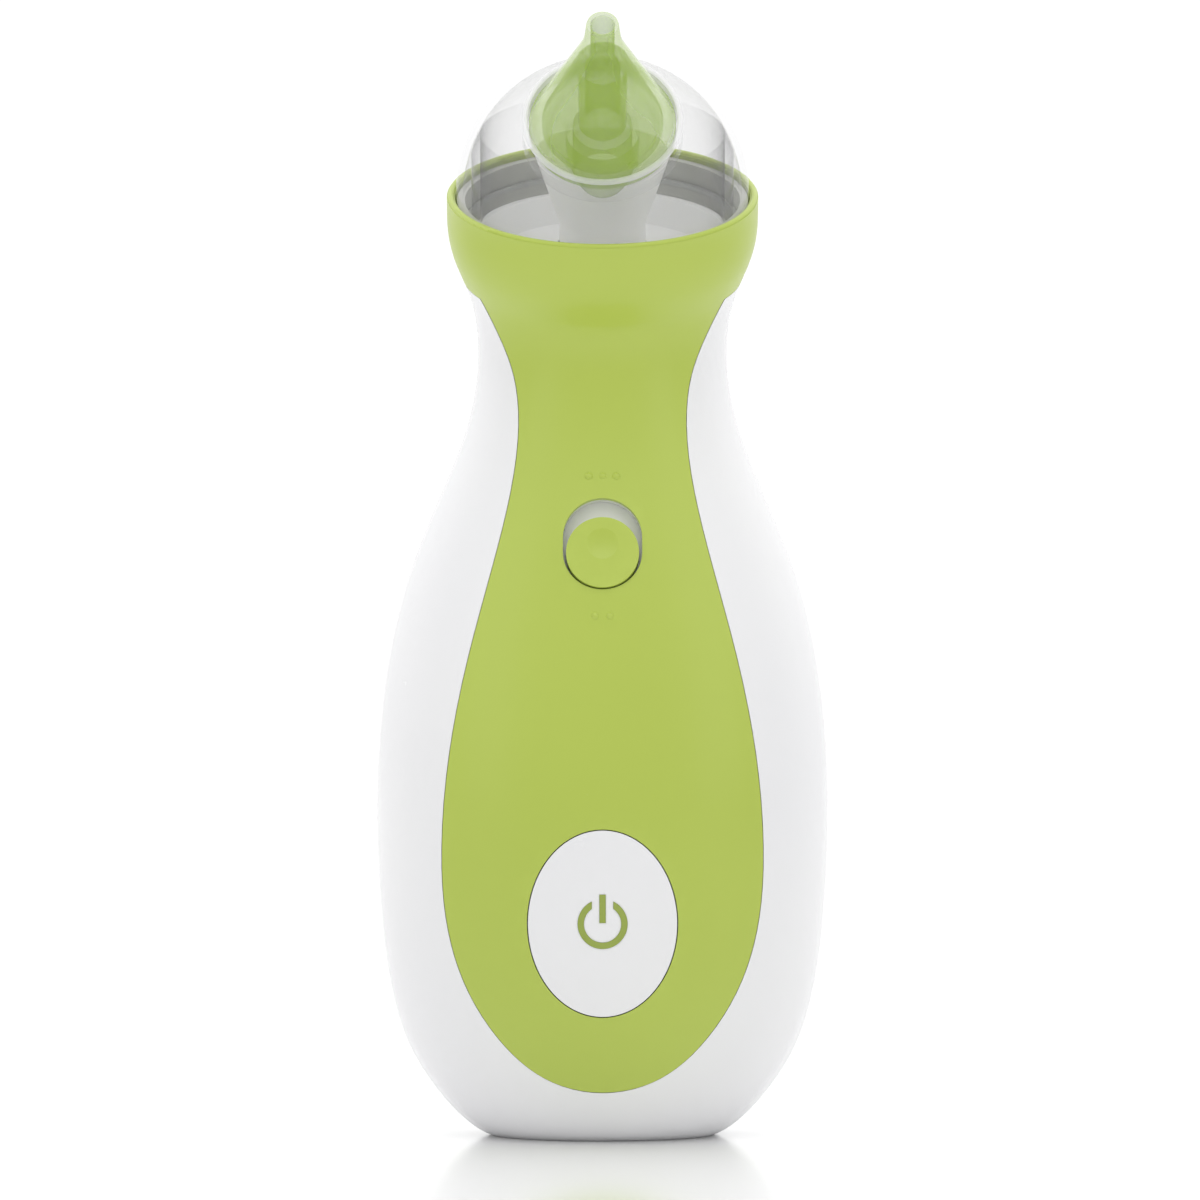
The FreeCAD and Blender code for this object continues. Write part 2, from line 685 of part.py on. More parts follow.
PORT_RADIUS = 5.6
NIPPLE_RADIUS = 1.9
NIPPLE_BORE = 1.2
NIPPLE_END = -28.0


def socket_deck():
    """Deck that closes the housing under the head, with a port for the spigot and a hose nipple below it."""
    slab = common("deck_slab", inside_room, box("deck_zone", (-40, -40, -18.6), (40, 40, -12.0), HEAD_FRAME))
    room = common("deck_room", ball("deck_ball", dim("seat_radius"), (0, 0, 0), HEAD_FRAME),
                  box("deck_room_zone", (-40, -40, -15.4), (40, 40, 10), HEAD_FRAME))
    port = cylinder("port", PORT_RADIUS, 5.0, (0, PIPE_BACK, -22.6), None, HEAD_FRAME)
    port_bore = cylinder("port_bore", 3.9, 10.0, (0, PIPE_BACK, -21.0), None, HEAD_FRAME)
    seal_bore = cylinder("seal_bore", 4.8, 6.0, (0, PIPE_BACK, -18.2), None, HEAD_FRAME)
    nipple = cylinder("nipple", NIPPLE_RADIUS, -22.2 - NIPPLE_END, (0, PIPE_BACK, NIPPLE_END), None, HEAD_FRAME)
    bore = cylinder("nipple_bore", NIPPLE_BORE, 20.0, (0, PIPE_BACK, NIPPLE_END - 1), None, HEAD_FRAME)
    solid = fuse("deck_solid", cut("deck_dish", slab, room), port, nipple)
    return cut("socket_deck", solid, port_bore, seal_bore, bore)


piece("socket_deck", socket_deck())
piece("port_seal", tube("port_seal", 4.75, 3.65, 2.4, (0, PIPE_BACK, -18.1), None, HEAD_FRAME))


# ---------------------------------------------------------------- push button

SYMBOL_Z = float(dim("button_height"))


def symbol_flat(name, grow):
    """Generic on-off mark as a prism: an open ring and a bar."""
    circle = tube(f"{name}_ring", 4.4 + grow, 3.3 - grow, 20.0, (0, -45.0, SYMBOL_Z), ALONG_Y)
    gap = box(f"{name}_gap", (grow - 1.9, -46, SYMBOL_Z), (1.9 - grow, -20, SYMBOL_Z + 8))
    bar = box(f"{name}_bar", (-0.55 - grow, -45, SYMBOL_Z + 0.2 - grow),
              (0.55 + grow, -25, SYMBOL_Z + 5.2 + grow))
    return fuse(f"{name}_flat", cut(f"{name}_open_ring", circle, gap), bar)


def power_button():
    """Oval button that follows the front's form, hollow behind, with a retaining flange and a central post."""
    width, height, level = dim("button_half_width"), dim("button_half_height"), dim("button_height")
    deep = skin("button_back", 4.4)
    blank = common("button_blank", outer_skin, oval("button_oval", width, height, -45.0, -20.0, level))
    plug = cut("button_plug", blank,
               deep)
    flange = cut("button_flange", common("flange_blank", inside_room,
                 oval("flange_oval", width + 1.2, height + 1.2, -45.0, -20.0, level)), deep)
    hollow = common("button_hollow", skin("button_under", 2.2),
                    oval("hollow_oval", width - 1.8, height - 1.8, -45.0, -20.0, level))
    post = cylinder("button_post", 2.2, 7.2, (0, -31.5, level), ALONG_Y)
    ribs = [box("button_rib", (-12.0, -31.2, float(level) - 0.5), (12.0, -28.6, float(level) + 0.5)),
            box("button_rib", (-0.5, -31.2, float(level) - 15.0), (0.5, -28.6, float(level) + 15.0))]
    inner = common("rib_zone", fuse("ribs", *ribs), hollow)
    cup = cut("button_cup", fuse("button_body", plug, flange), hollow,
              cut("symbol_pocket", symbol_flat("pocket", 0.03), skin("symbol_floor", 0.45)))
    return fuse("power_button", cup, post, inner)


piece("power_button", power_button())
piece("power_symbol", cut("power_symbol", common("symbol_blank", symbol_top, symbol_flat("symbol", 0.0)),
                          skin("symbol_under", 0.42)))
TACT_FRONT = -22.6
POST_END = -24.3
piece("tact_plunger", cylinder("tact_plunger", 1.75, 3.1, (0, POST_END, dim("button_height")), ALONG_Y))
piece("button_spring", coil("button_spring", 5.4, 0.3, 1.72, 8.6, (0, -28.0, SYMBOL_Z), ALONG_Y))


# ---------------------------------------------------------------- slide switch

def switch_bezel():
    """White plate behind the window, which the knob runs on, with four legs that carry the switch board."""
    plate = box("bezel_plate", (-10.5, 2.75, -12.0), (10.5, 4.1, 12.0), SWITCH_FRAME)
    inside = common("bezel_inside", plate, inside_room)
    slot = stadium("stem_slot", 1.9, 1.8, 0.0, 8.0)
    legs = [cylinder("bezel_leg", 1.5, 6.2, (x, 4.0, z), ALONG_Y, SWITCH_FRAME)
            for x in (-8.0, 8.0) for z in (-8.0, 8.0)]
    return cut("switch_bezel", fuse("bezel_solid", inside, *legs), slot)


KNOB_REST = -1.7


def slider_knob():
    """Round thumb knob with a shallow dish, and the stem that drives the switch lever."""
    radius = dim("knob_radius")
    disc = cylinder("knob_disc", radius, 2.9, (0, -0.35, KNOB_REST), ALONG_Y, SWITCH_FRAME)
    stem = cylinder("knob_stem", 1.6, 4.2, (0, 2.3, KNOB_REST), ALONG_Y, SWITCH_FRAME)
    dish = ball("knob_dish", 9.0, (0, -8.9, KNOB_REST + 1.6), SWITCH_FRAME)
    socket = box("lever_socket", (-0.85, 4.4, KNOB_REST - 0.85), (0.85, 7.0, KNOB_REST + 0.85), SWITCH_FRAME)
    return cut("slider_knob", fuse("knob_solid", disc, stem), dish, socket)


piece("switch_bezel", switch_bezel())
piece("slider_knob", slider_knob())
piece("switch_lever", box("switch_lever", (-0.8, 4.6, KNOB_REST - 0.8), (0.8, 8.2, KNOB_REST + 0.8),
                          SWITCH_FRAME))
piece("switch_body", cut("switch_body", box("switch_can", (-4.3, 6.9, -4.6), (4.3, 10.2, 4.6), SWITCH_FRAME),
                         box("lever_slot", (-1.0, 6.0, -2.7), (1.0, 9.2, 2.7), SWITCH_FRAME)))
piece("switch_board", box("switch_board", (-10.0, 10.25, -10.0), (10.0, 11.25, 10.0), SWITCH_FRAME))


# ---------------------------------------------------------------- chassis, boards and cells

CELL_X = [(index - 1.5) * float(dim("cell_pitch")) for index in range(4)]
PLATE_FOOT = 25.55
PLATE_TOP = 79.05
NUB = 1.0
CELL_LENGTH = float(dim("cell_length"))
BOARD_Y = float(dim("board_y"))
BOARD_BACK = BOARD_Y + float(dim("board_thickness"))
MOTOR_Y = float(dim("motor_y"))
MOTOR_FOOT = float(dim("motor_foot"))
MOTOR_TOP = MOTOR_FOOT + float(dim("motor_length"))
BOARD_POSTS = [(side * 13.0, height) for side in (-1, 1) for height in (28.0, 64.0)]


def chassis():
    """Frame that the halves screw to: battery tray behind, board posts in front, motor cradle on top."""
    tray = cut("tray", box("tray_block", (-30.8, 2.6, 23.4), (30.8, 11.5, 81.2)),
               box("tray_room", (-29.6, 4.4, 25.0), (29.6, 20.0, 79.6)))
    kept = common("tray_inside", tray, inside_room)
    shelf = cut("motor_shelf", box("shelf_block", (-17.0, -11.0, 81.0), (17.0, 15.0, MOTOR_FOOT - 0.02)),
                box("wire_room", (-15.0, -12.0, 82.3), (15.0, 12.0, 84.4)),
                *[cylinder("wire_hole", 1.0, 5.0, (x, -4.0, 83.0)) for x in (-6.0, 6.0)])
    cradle = tube("cradle", 13.9, float(dim("motor_radius")) + 0.1, 6.6, (0, MOTOR_Y, MOTOR_FOOT - 0.3))
    door_post = cylinder("door_post", 3.8, CUP_FOOT - 0.1 - 14.6, (0, 14.6, SCREW_HEIGHT), ALONG_Y)
    door_pilot = cylinder("door_pilot", 1.25, 8.0, (0, CUP_FOOT - 7.5, SCREW_HEIGHT), ALONG_Y)
    posts = [cylinder("board_post", 2.6, 3.0 - BOARD_BACK, (x, BOARD_BACK, z), ALONG_Y)
             for x, z in BOARD_POSTS]
    side_posts = [cylinder("side_post", 3.2, 21.2, (x, -18.2, z), ALONG_Y) for x, z in SIDE_SCREWS]
    pilots = [cylinder("side_pilot", 1.1, 9.0, (x, -19.0, z), ALONG_Y) for x, z in SIDE_SCREWS]
    board_pilots = [cylinder("board_pilot", 0.8, 6.0, (x, BOARD_BACK - 1.0, z), ALONG_Y)
                    for x, z in BOARD_POSTS]
    solid = fuse("chassis_solid", kept, shelf, cradle, door_post, *posts, *side_posts)
    return cut("chassis", solid, fuse("chassis_pilots", door_pilot, *pilots, *board_pilots))


def cells():
    """Four round cells side by side, alternate ones upside down."""
    made = []
    for index, x in enumerate(CELL_X):
        up = index % 2 == 0
        foot = PLATE_TOP - NUB - CELL_LENGTH if up else PLATE_FOOT + NUB
        nub_foot = PLATE_TOP - NUB if up else PLATE_FOOT
        can = cylinder("cell_can", dim("cell_radius"), dim("cell_length"), (x, dim("cell_y"), foot))
        made.append(fuse("cell", can, cylinder("cell_nub", 2.7, NUB, (x, dim("cell_y"), nub_foot))))
    return fuse("cells", *made)


def contacts():
    """Flat and dimpled plates at both ends of the tray, each joining two cells."""
    top, foot = PLATE_TOP + 0.45, PLATE_FOOT - 0.45
    cell_y = float(dim("cell_y"))
    near, far = cell_y - 7.0, cell_y + 3.0
    plates = [box("contact_plate", (CELL_X[a] - 5.0, near, top - 0.4), (CELL_X[b] + 5.0, far, top))
              for a, b in ((0, 0), (1, 2), (3, 3))]
    plates += [box("contact_plate", (CELL_X[a] - 5.0, near, foot), (CELL_X[b] + 5.0, far, foot + 0.4))
               for a, b in ((0, 1), (2, 3))]
    return fuse("battery_contacts", *plates)


def contact_springs():
    """A coil at each cell's flat end."""
    made = []
    for index, x in enumerate(CELL_X):
        room = PLATE_TOP - PLATE_FOOT - NUB - CELL_LENGTH
        low = PLATE_FOOT if index % 2 == 0 else PLATE_TOP - room
        made.append(coil("contact_coil", 3.2, 0.32, 0.9, room - 0.65, (x, float(dim("cell_y")), low + 0.33)))
    return fuse("contact_springs", *made)


def circuit_board():
    """Main board: a wide foot behind the button and a narrow neck."""
    body = doc.addObject("PartDesign::Body", "circuit_board")
    sketch = body.newObject("Sketcher::SketchObject", "board_outline")
    origin = [o for o in body.Origin.OriginFeatures if o.Role == "XY_Plane"][0]
    sketch.AttachmentSupport = [(origin, "")]
    sketch.MapMode = "FlatFace"
    corners = [V(-17, 22, 0), V(17, 22, 0), V(17, 70, 0), V(9, 78, 0), V(9, 92, 0), V(-9, 92, 0), V(-9, 78, 0),
               V(-17, 70, 0)]
    for index, corner in enumerate(corners):
        sketch.addGeometry(Part.LineSegment(corner, corners[(index + 1) % len(corners)]), False)
    for index in range(len(corners)):
        sketch.addConstraint(Sketcher.Constraint("Coincident", index, 2, (index + 1) % len(corners), 1))
    pad = body.newObject("PartDesign::Pad", "board_pad")
    pad.Profile = sketch
    pad.setExpression("Length", "Sizes.board_thickness")
    holes = body.newObject("Sketcher::SketchObject", "board_holes")
    holes.AttachmentSupport = [(origin, "")]
    holes.MapMode = "FlatFace"
    for x, z in BOARD_POSTS:
        holes.addGeometry(Part.Circle(V(x, z, 0), V(0, 0, 1), 1.1), False)
    pocket = body.newObject("PartDesign::Pocket", "board_pocket")
    pocket.Profile = holes
    pocket.Type = "ThroughAll"
    pocket.Reversed = True
    body.Tip = pocket
    return body


piece("chassis", chassis())
board = piece("circuit_board", circuit_board(), Placement(V(0, BOARD_BACK, 0), Rotation(X_AXIS, 90)))
piece("board_parts", fuse(
    "board_parts",
    box("controller_chip", (-4.5, BOARD_Y - 1.3, 58.0), (4.5, BOARD_Y, 67.0)),
    box("driver_chip", (-4.0, BOARD_Y - 1.6, 72.0), (1.0, BOARD_Y, 77.0)),
    cylinder("capacitor", 3.2, 7.0, (9.0, BOARD_BACK, 48.0), ALONG_Y),
    box("wire_plug", (-7.0, BOARD_BACK, 82.0), (7.0, BOARD_BACK + 4.5, 87.0)),
    box("battery_plug", (-12.0, BOARD_BACK, 52.0), (-6.0, BOARD_BACK + 4.5, 58.0))))
tact_can = box("tact_can", (-3.0, TACT_FRONT, SYMBOL_Z - 3.0), (3.0, BOARD_Y, SYMBOL_Z + 3.0))
piece("tact_switch", cut("tact_switch", tact_can,
                         cylinder("tact_well", 1.9, 2.8, (0, TACT_FRONT - 0.1, SYMBOL_Z), ALONG_Y)))
piece("cells", cells())
piece("battery_contacts", contacts())
piece("contact_springs", contact_springs())


# ---------------------------------------------------------------- battery door

def battery_door():
    """Curved door on the back: an outer skin, a plug that locates it, locating ribs and a screw hole."""
    outside = cut("door_outside", common("door_blank", outer_skin, door_zone("door_area", 0.0)),
                  skin("door_under", DOOR_SKIN))
    plug_blank = common("plug_blank", skin("plug_top", DOOR_SKIN - 0.2), hatch_zone("plug_area", -0.2))
    plug = cut("door_plug", plug_blank, skin("plug_under", WALL - 0.2))
    cup_rod = cylinder("cup_rod", CUP_RADIUS, 8.0, (0, CUP_FOOT, SCREW_HEIGHT), ALONG_Y)
    cup = common("screw_cup", cup_rod, outer_skin)
    screw_hole = cylinder("door_screw_hole", 1.5, 20.0, (0, 20.0, SCREW_HEIGHT), ALONG_Y)
    head_pocket = cylinder("door_head_pocket", 3.2, 12.0, (0, CUP_FOOT + 1.2, SCREW_HEIGHT), ALONG_Y)
    grooves = cut("grip_grooves", fuse("grip_blocks", *[
        box("grip_block", (-8.0, 20.0, z), (8.0, 40.0, z + 0.9)) for z in (30.0, 32.4, 34.8, 37.2)]),
        skin("grip_floor", 0.45))
    return cut("battery_door", fuse("door_solid", outside, plug, cup), screw_hole, head_pocket, grooves)


piece("battery_door", battery_door())


def screw(name, head_radius, head_height, shank_radius, length):
    """A pan-head screw along +Z with its head at the origin, and a cross recess."""
    body = profile_body(name, [(0.0, 0.0), (head_radius * 0.72, 0.0), (head_radius, head_height * 0.45),
                               (head_radius, head_height), (shank_radius, head_height),
                               (shank_radius, length - 0.8), (0.35, length), (0.0, length)])
    arm = head_radius * 0.55
    cross = fuse(f"{name}_cross", box(f"{name}_arm", (-arm, -0.32, -0.5), (arm, 0.32, head_height * 0.6)),
                 box(f"{name}_arm", (-0.32, -arm, -0.5), (0.32, arm, head_height * 0.6)))
    return cut(f"{name}_made", body, cross)


def screws(label, sizes, places, turn):
    """The same screw at several places, in one node."""
    made = []
    for at in places:
        item = screw(f"{label}_one", *sizes)
        item.Placement = Placement(V(*at), turn)
        made.append(item)
    return made[0] if len(made) == 1 else fuse(label, *made)


piece("door_screw", screws("door_screw", (2.9, 1.6, 1.2, 9.0), [(0, CUP_FOOT + 1.22 + 1.6, SCREW_HEIGHT)],
                           Rotation(X_AXIS, 90)))
piece("housing_screws", screws("housing_screws", (2.5, 1.3, 1.05, 9.0),
                               [(x, SIDE_SCREW_FACE + 0.05, z) for x, z in SIDE_SCREWS], ALONG_Y))
piece("board_screws", screws("board_screws", (1.8, 1.0, 0.75, 5.5),
                             [(x, BOARD_Y - 1.05, z) for x, z in BOARD_POSTS], ALONG_Y))


# ---------------------------------------------------------------- motor

def motor_can():
    """Steel can, closed above with a bearing boss, open below for the end cap."""
    radius = dim("motor_radius")
    at = (0, dim("motor_y"), dim("motor_foot"))
    can = cylinder("can", radius, dim("motor_length"), at)
    room = cylinder("can_room", radius - 0.8, dim("motor_length") - 1.6, at)
    boss = cylinder("can_boss", 3.0, 1.6, (0, MOTOR_Y, MOTOR_TOP))
    bore = cylinder("can_bore", dim("shaft_radius") + 0.05, 10.0, (0, MOTOR_Y, MOTOR_TOP - 5.0))
    return cut("motor_can", fuse("can_solid", can, boss), room, bore)


def magnets():
    """Two arc magnets inside the can."""
    arc = tube("magnet_ring", 11.2, 9.4, 20.0, (0, MOTOR_Y, MOTOR_FOOT + 5.0))
    gap = box("magnet_gap", (-2.5, -20, MOTOR_FOOT), (2.5, 30, MOTOR_TOP))
    return cut("motor_magnets", arc, gap)


def armature():
    """Laminated core with three slots, its windings and the commutator."""
    core = cylinder("core", 8.9, 13.0, (0, MOTOR_Y, MOTOR_FOOT + 9.0))
    slots = []
    for index in range(3):
        block = box("slot_block", (-1.1, 4.0, 0.0), (1.1, 9.5, 13.2))
        block.Placement = Placement(V(0, MOTOR_Y, MOTOR_FOOT + 8.9), Rotation(V(0, 0, 1), 120.0 * index))
        slots.append(block)
    windings = [cylinder("winding", 7.2, 2.4, (0, MOTOR_Y, z)) for z in (MOTOR_FOOT + 6.6, MOTOR_FOOT + 22.0)]
    commutator = cylinder("commutator", 3.0, 3.4, (0, MOTOR_Y, MOTOR_FOOT + 3.2))
    bore = cylinder("core_bore", dim("shaft_radius"), 40.0, (0, MOTOR_Y, MOTOR_FOOT))
    solid = fuse("armature_solid", cut("core_slotted", core, *slots), *windings, commutator)
    return cut("armature", solid, bore)


def end_cap():
    """Plastic cap that carries the brushes and the lower bearing."""
    cap = cylinder("cap_disc", 11.2, 2.4, (0, MOTOR_Y, MOTOR_FOOT))
    bore = cylinder("cap_bore", dim("shaft_radius") + 0.05, 10.0, (0, MOTOR_Y, MOTOR_FOOT - 2.0))
    brushes = [box("brush", (min(s * 3.1, s * 5.6), MOTOR_Y - 1.2, MOTOR_FOOT + 2.2),
                   (max(s * 3.1, s * 5.6), MOTOR_Y + 1.2, MOTOR_FOOT + 5.6)) for s in (-1, 1)]
    return cut("motor_end_cap", fuse("cap_solid", cap, *brushes), bore)


SHAFT_TOP = MOTOR_TOP + 12.0
piece("motor_can", motor_can())
piece("motor_magnets", magnets())
piece("armature", armature())
piece("motor_end_cap", end_cap())
piece("motor_shaft", cylinder("motor_shaft", dim("shaft_radius"), SHAFT_TOP - MOTOR_FOOT - 0.4,
                              (0, dim("motor_y"), MOTOR_FOOT + 0.4)))


# ---------------------------------------------------------------- pump

THROW = float(dim("throw"))
CRANK_Y = MOTOR_Y - THROW            # the eccentric points forward at rest
CASE_FOOT = MOTOR_TOP
CASE_TOP = CASE_FOOT + 17.0
RING_FOOT = CASE_FOOT + 5.2
RING_HEIGHT = 5.0
AXIS_Z = RING_FOOT + RING_HEIGHT / 2
CASE_BACK = 12.0
VALVE_BACK = 15.2
COVER_BACK = 20.4
HOSE_Y = 18.2
PUMP_HALF = 7.6


def crankcase():
    """Square case round the eccentric, open at the back where the diaphragm closes it."""
    block = box("case_block", (-11.5, -9.5, CASE_FOOT), (11.5, CASE_BACK, CASE_TOP))
    room = box("case_room", (-9.8, -7.8, CASE_FOOT + 2.2), (9.8, CASE_BACK - 1.4, CASE_TOP - 1.8))
    boss_room = cylinder("boss_room", 3.1, 6.0, (0, MOTOR_Y, CASE_FOOT - 1.0))
    back_port = cylinder("back_port", 6.4, 4.0, (0, CASE_BACK - 2.0, AXIS_Z), ALONG_Y)
    return cut("pump_case", block, room, boss_room, back_port)


def eccentric():
    """Offset disc on the motor shaft."""
    disc = cylinder("crank_disc", 4.0, RING_HEIGHT, (0, CRANK_Y, RING_FOOT))
    hub = cylinder("crank_hub", 2.6, 1.6, (0, MOTOR_Y, RING_FOOT - 1.6))
    return cut("eccentric", fuse("crank_solid", disc, hub),
               cylinder("crank_bore", dim("shaft_radius"), 30.0, (0, MOTOR_Y, RING_FOOT - 10.0)))


def connecting_rod():
    """Ring round the bearing, an arm, and the plate that holds the diaphragm."""
    ring_part = cylinder("rod_ring", 7.2, RING_HEIGHT, (0, CRANK_Y, RING_FOOT))
    arm = box("rod_arm", (-1.8, CRANK_Y + 5.0, RING_FOOT + 0.5), (1.8, 11.0, RING_FOOT + RING_HEIGHT - 0.5))
    plate = cylinder("rod_plate", 4.6, 1.0, (0, 10.9, AXIS_Z), ALONG_Y)
    return cut("connecting_rod", fuse("rod_solid", ring_part, arm, plate),
               cylinder("rod_bore", 6.0, 20.0, (0, CRANK_Y, RING_FOOT - 5.0)))


def valve_plate():
    """Plate behind the diaphragm with a dished room and two ports."""
    low, high = AXIS_Z - PUMP_HALF, AXIS_Z + PUMP_HALF
    block = box("valve_block", (-9.5, CASE_BACK + 0.8, low), (9.5, VALVE_BACK, high))
    dish = cylinder("valve_dish", 6.4, 0.9, (0, CASE_BACK + 0.8, AXIS_Z), ALONG_Y)
    ports = [cylinder("valve_port", 1.0, 6.0, (0, CASE_BACK, AXIS_Z + z), ALONG_Y) for z in (-4.0, 4.0)]
    return cut("valve_plate", block, dish, *ports)


def pump_cover():
    """Cover with an inlet and an outlet room, and a hose nipple on each."""
    low, high = AXIS_Z - PUMP_HALF, AXIS_Z + PUMP_HALF
    block = box("cover_block", (-9.5, VALVE_BACK + 0.6, low), (9.5, COVER_BACK, high))
    shaped = common("cover_inside", block, inside_room)
    rooms = [box("cover_room", (-6.0, VALVE_BACK, AXIS_Z + low), (6.0, COVER_BACK - 1.4, AXIS_Z + high))
             for low, high in ((-6.6, -0.7), (0.7, 6.6))]
    up = cylinder("inlet_nipple", 1.9, 6.5, (0, HOSE_Y, AXIS_Z + 7.5))
    down = cylinder("outlet_nipple", 1.9, 6.0, (0, HOSE_Y, AXIS_Z - 13.5))
    bores = [cylinder("cover_bore", 1.0, 12.0, (0, HOSE_Y, z)) for z in (AXIS_Z + 3.0, AXIS_Z - 15.0)]
    return cut("pump_cover", fuse("cover_solid", shaped, up, down), *rooms, *bores)


def inlet_hose():
    """Soft hose from the deck's nipple to the pump's inlet."""
    down = HEAD_FRAME.Rotation.multVec(V(0, 0, -1))
    start = HEAD_FRAME.multVec(V(0, PIPE_BACK, NIPPLE_END + 4.2))
    corner = start + down * ((HOSE_Y - start.y) / down.y)
    end = V(0, HOSE_Y, AXIS_Z + 10.0)
    path = smooth_path([tuple(start), tuple(corner), tuple(end)])
    return drawn("inlet_hose", swept(path, 2.9).cut(swept(path, 1.95)))


def muffler():
    """Small exhaust can with a felt core, fed by the pump's outlet."""
    can = cylinder("muffler_can", 4.0, 12.0, (0, 19.0, 98.5))
    room = cylinder("muffler_room", 3.2, 10.4, (0, 19.0, 99.3))
    mouth = cylinder("muffler_mouth", 2.7, 3.0, (0, HOSE_Y, 109.0))
    outlets = [box("muffler_slot", (-1.6, 20.0, z), (1.6, 26.0, z + 1.2)) for z in (101.0, 103.4, 105.8)]
    motor_back = MOTOR_Y + float(dim("motor_radius"))
    saddle = box("muffler_saddle", (-2.5, motor_back + 0.02, 100.0), (2.5, 16.5, 109.0))
    return cut("muffler", fuse("muffler_solid", can, saddle), room, mouth, *outlets)


piece("pump_case", crankcase())
piece("eccentric", eccentric())
piece("crank_bearing", tube("crank_bearing", 5.95, 4.05, 4.6, (0, CRANK_Y, RING_FOOT + 0.2)))
piece("connecting_rod", connecting_rod())
piece("diaphragm", cylinder("diaphragm", 7.4, 0.8, (0, CASE_BACK, AXIS_Z), ALONG_Y))
piece("valve_plate", valve_plate())
piece("valve_flaps", box("valve_flaps", (-6.5, VALVE_BACK + 0.02, AXIS_Z - 7.0),
                         (6.5, VALVE_BACK + 0.58, AXIS_Z + 7.0)))
piece("pump_cover", pump_cover())
piece("inlet_hose", inlet_hose())
piece("outlet_hose", tube("outlet_hose", 2.6, 1.95, 6.2, (0, HOSE_Y, 110.6)))
piece("muffler", muffler())
piece("muffler_felt", cylinder("muffler_felt", 3.1, 8.4, (0, 19.0, 99.4)))


# ---------------------------------------------------------------- wires

def wires(name, routes, radius):
    """Insulated wires, each along its own route."""
    made = [swept(smooth_path(route), radius) for route in routes]
    return drawn(name, Part.makeCompound(made))


piece("motor_wires", wires("motor_wires", [
    [(side * 4.0, BOARD_BACK + 4.52, 83.35), (side * 4.0, -8.0, 83.35), (side * 6.0, -4.0, 83.35),
     (side * 6.0, -4.0, MOTOR_FOOT - 0.02)] for side in (-1, 1)], 0.55))
piece("battery_wires", wires("battery_wires", [
    [(-9.0 + side * 1.5, BOARD_BACK + 4.52, 55.0 + side), (-9.0 + side * 1.5, -6.0, 55.0 + side),
     (side * 3.0 - 14.0, -1.0, 57.0 + side), (side * 3.0 - 14.0, 2.58, 57.0 + side)] for side in (-1, 1)], 0.55))
piece("switch_wires", wires("switch_wires", [
    [tuple(SWITCH_FRAME.multVec(V(x, 11.27, -7.0))), tuple(SWITCH_FRAME.multVec(V(x, 13.3, -7.0))),
     (x, -14.4, 89.5), (x, BOARD_BACK + 0.02, 89.5)] for x in (-2.4, 0.0, 2.4)], 0.5))


# ---------------------------------------------------------------- checks and export

doc.recompute()
failed = []
for item in doc.Objects:
    if {"Invalid", "Error"} & set(item.State):
        failed.append(f"{item.Name}: {item.State}")
for item in pieces:
    if item.Shape.isNull() or not item.Shape.isValid() or not item.Shape.Solids:
        failed.append(f"{item.Label} has no valid solid")
if failed:
    raise RuntimeError("; ".join(failed))

os.makedirs("parts", exist_ok=True)
for item in pieces:
    item.Shape.exportStep(os.path.join("parts", f"{item.Label}.step"))
    print(f"{item.Label}: {item.Shape.Volume:.1f} mm3 in {len(item.Shape.Solids)} solids")
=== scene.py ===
"""Looks of a hand-held nasal aspirator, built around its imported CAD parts.

Every length in this file is in millimetres unless its name says otherwise, and becomes metres in the meshes.
"""

from __future__ import annotations

import json
import logging
import math
from dataclasses import dataclass
from enum import Enum
from typing import Sequence

import bmesh
import bpy
from mathutils import Matrix, Vector

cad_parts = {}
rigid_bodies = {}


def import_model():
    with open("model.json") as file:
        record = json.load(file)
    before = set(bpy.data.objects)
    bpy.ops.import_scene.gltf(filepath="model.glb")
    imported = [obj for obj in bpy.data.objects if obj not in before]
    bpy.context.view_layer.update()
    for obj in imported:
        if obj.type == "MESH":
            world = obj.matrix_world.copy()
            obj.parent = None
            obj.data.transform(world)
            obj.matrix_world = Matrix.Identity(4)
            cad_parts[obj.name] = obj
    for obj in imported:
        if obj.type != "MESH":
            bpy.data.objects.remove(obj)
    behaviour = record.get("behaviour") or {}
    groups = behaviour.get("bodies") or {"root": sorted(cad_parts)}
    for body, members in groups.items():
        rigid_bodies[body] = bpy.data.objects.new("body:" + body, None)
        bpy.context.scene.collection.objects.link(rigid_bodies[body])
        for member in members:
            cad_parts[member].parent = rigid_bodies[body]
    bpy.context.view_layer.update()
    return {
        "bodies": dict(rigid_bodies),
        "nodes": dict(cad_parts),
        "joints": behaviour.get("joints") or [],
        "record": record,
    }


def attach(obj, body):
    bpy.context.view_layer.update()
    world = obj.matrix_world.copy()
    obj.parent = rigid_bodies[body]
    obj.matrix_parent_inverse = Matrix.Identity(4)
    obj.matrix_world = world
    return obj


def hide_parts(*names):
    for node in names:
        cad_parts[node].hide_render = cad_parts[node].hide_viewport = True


LOG = logging.getLogger("nasal_aspirator")
MM = 0.001

Colour = tuple[float, float, float]
Point = tuple[float, float]


def tilted(tilt: float, y: float, z: float) -> Matrix:
    """The frame of a part that leans forward.

    Args:
        tilt: Lean towards the front, in degrees.
        y: Place of the frame's origin along Y.
        z: Height of the frame's origin.

    Returns:
        The matrix that carries a point of the frame, in metres, to its place.
    """
    return Matrix.Translation((0.0, y * MM, z * MM)) @ Matrix.Rotation(math.radians(tilt), 4, "X")


BALL_Y, BALL_Z = -2.5, 168.2
HEAD_LEAN, NOSE_LEAN, CONE_SEAT = 20.0, 54.0, 21.45
HEAD = tilted(HEAD_LEAN, BALL_Y, BALL_Z)
NOSE = tilted(NOSE_LEAN, BALL_Y, BALL_Z)
CONE = NOSE @ Matrix.Translation((0.0, 0.0, CONE_SEAT * MM))


# ---------------------------------------------------------------- node graphs


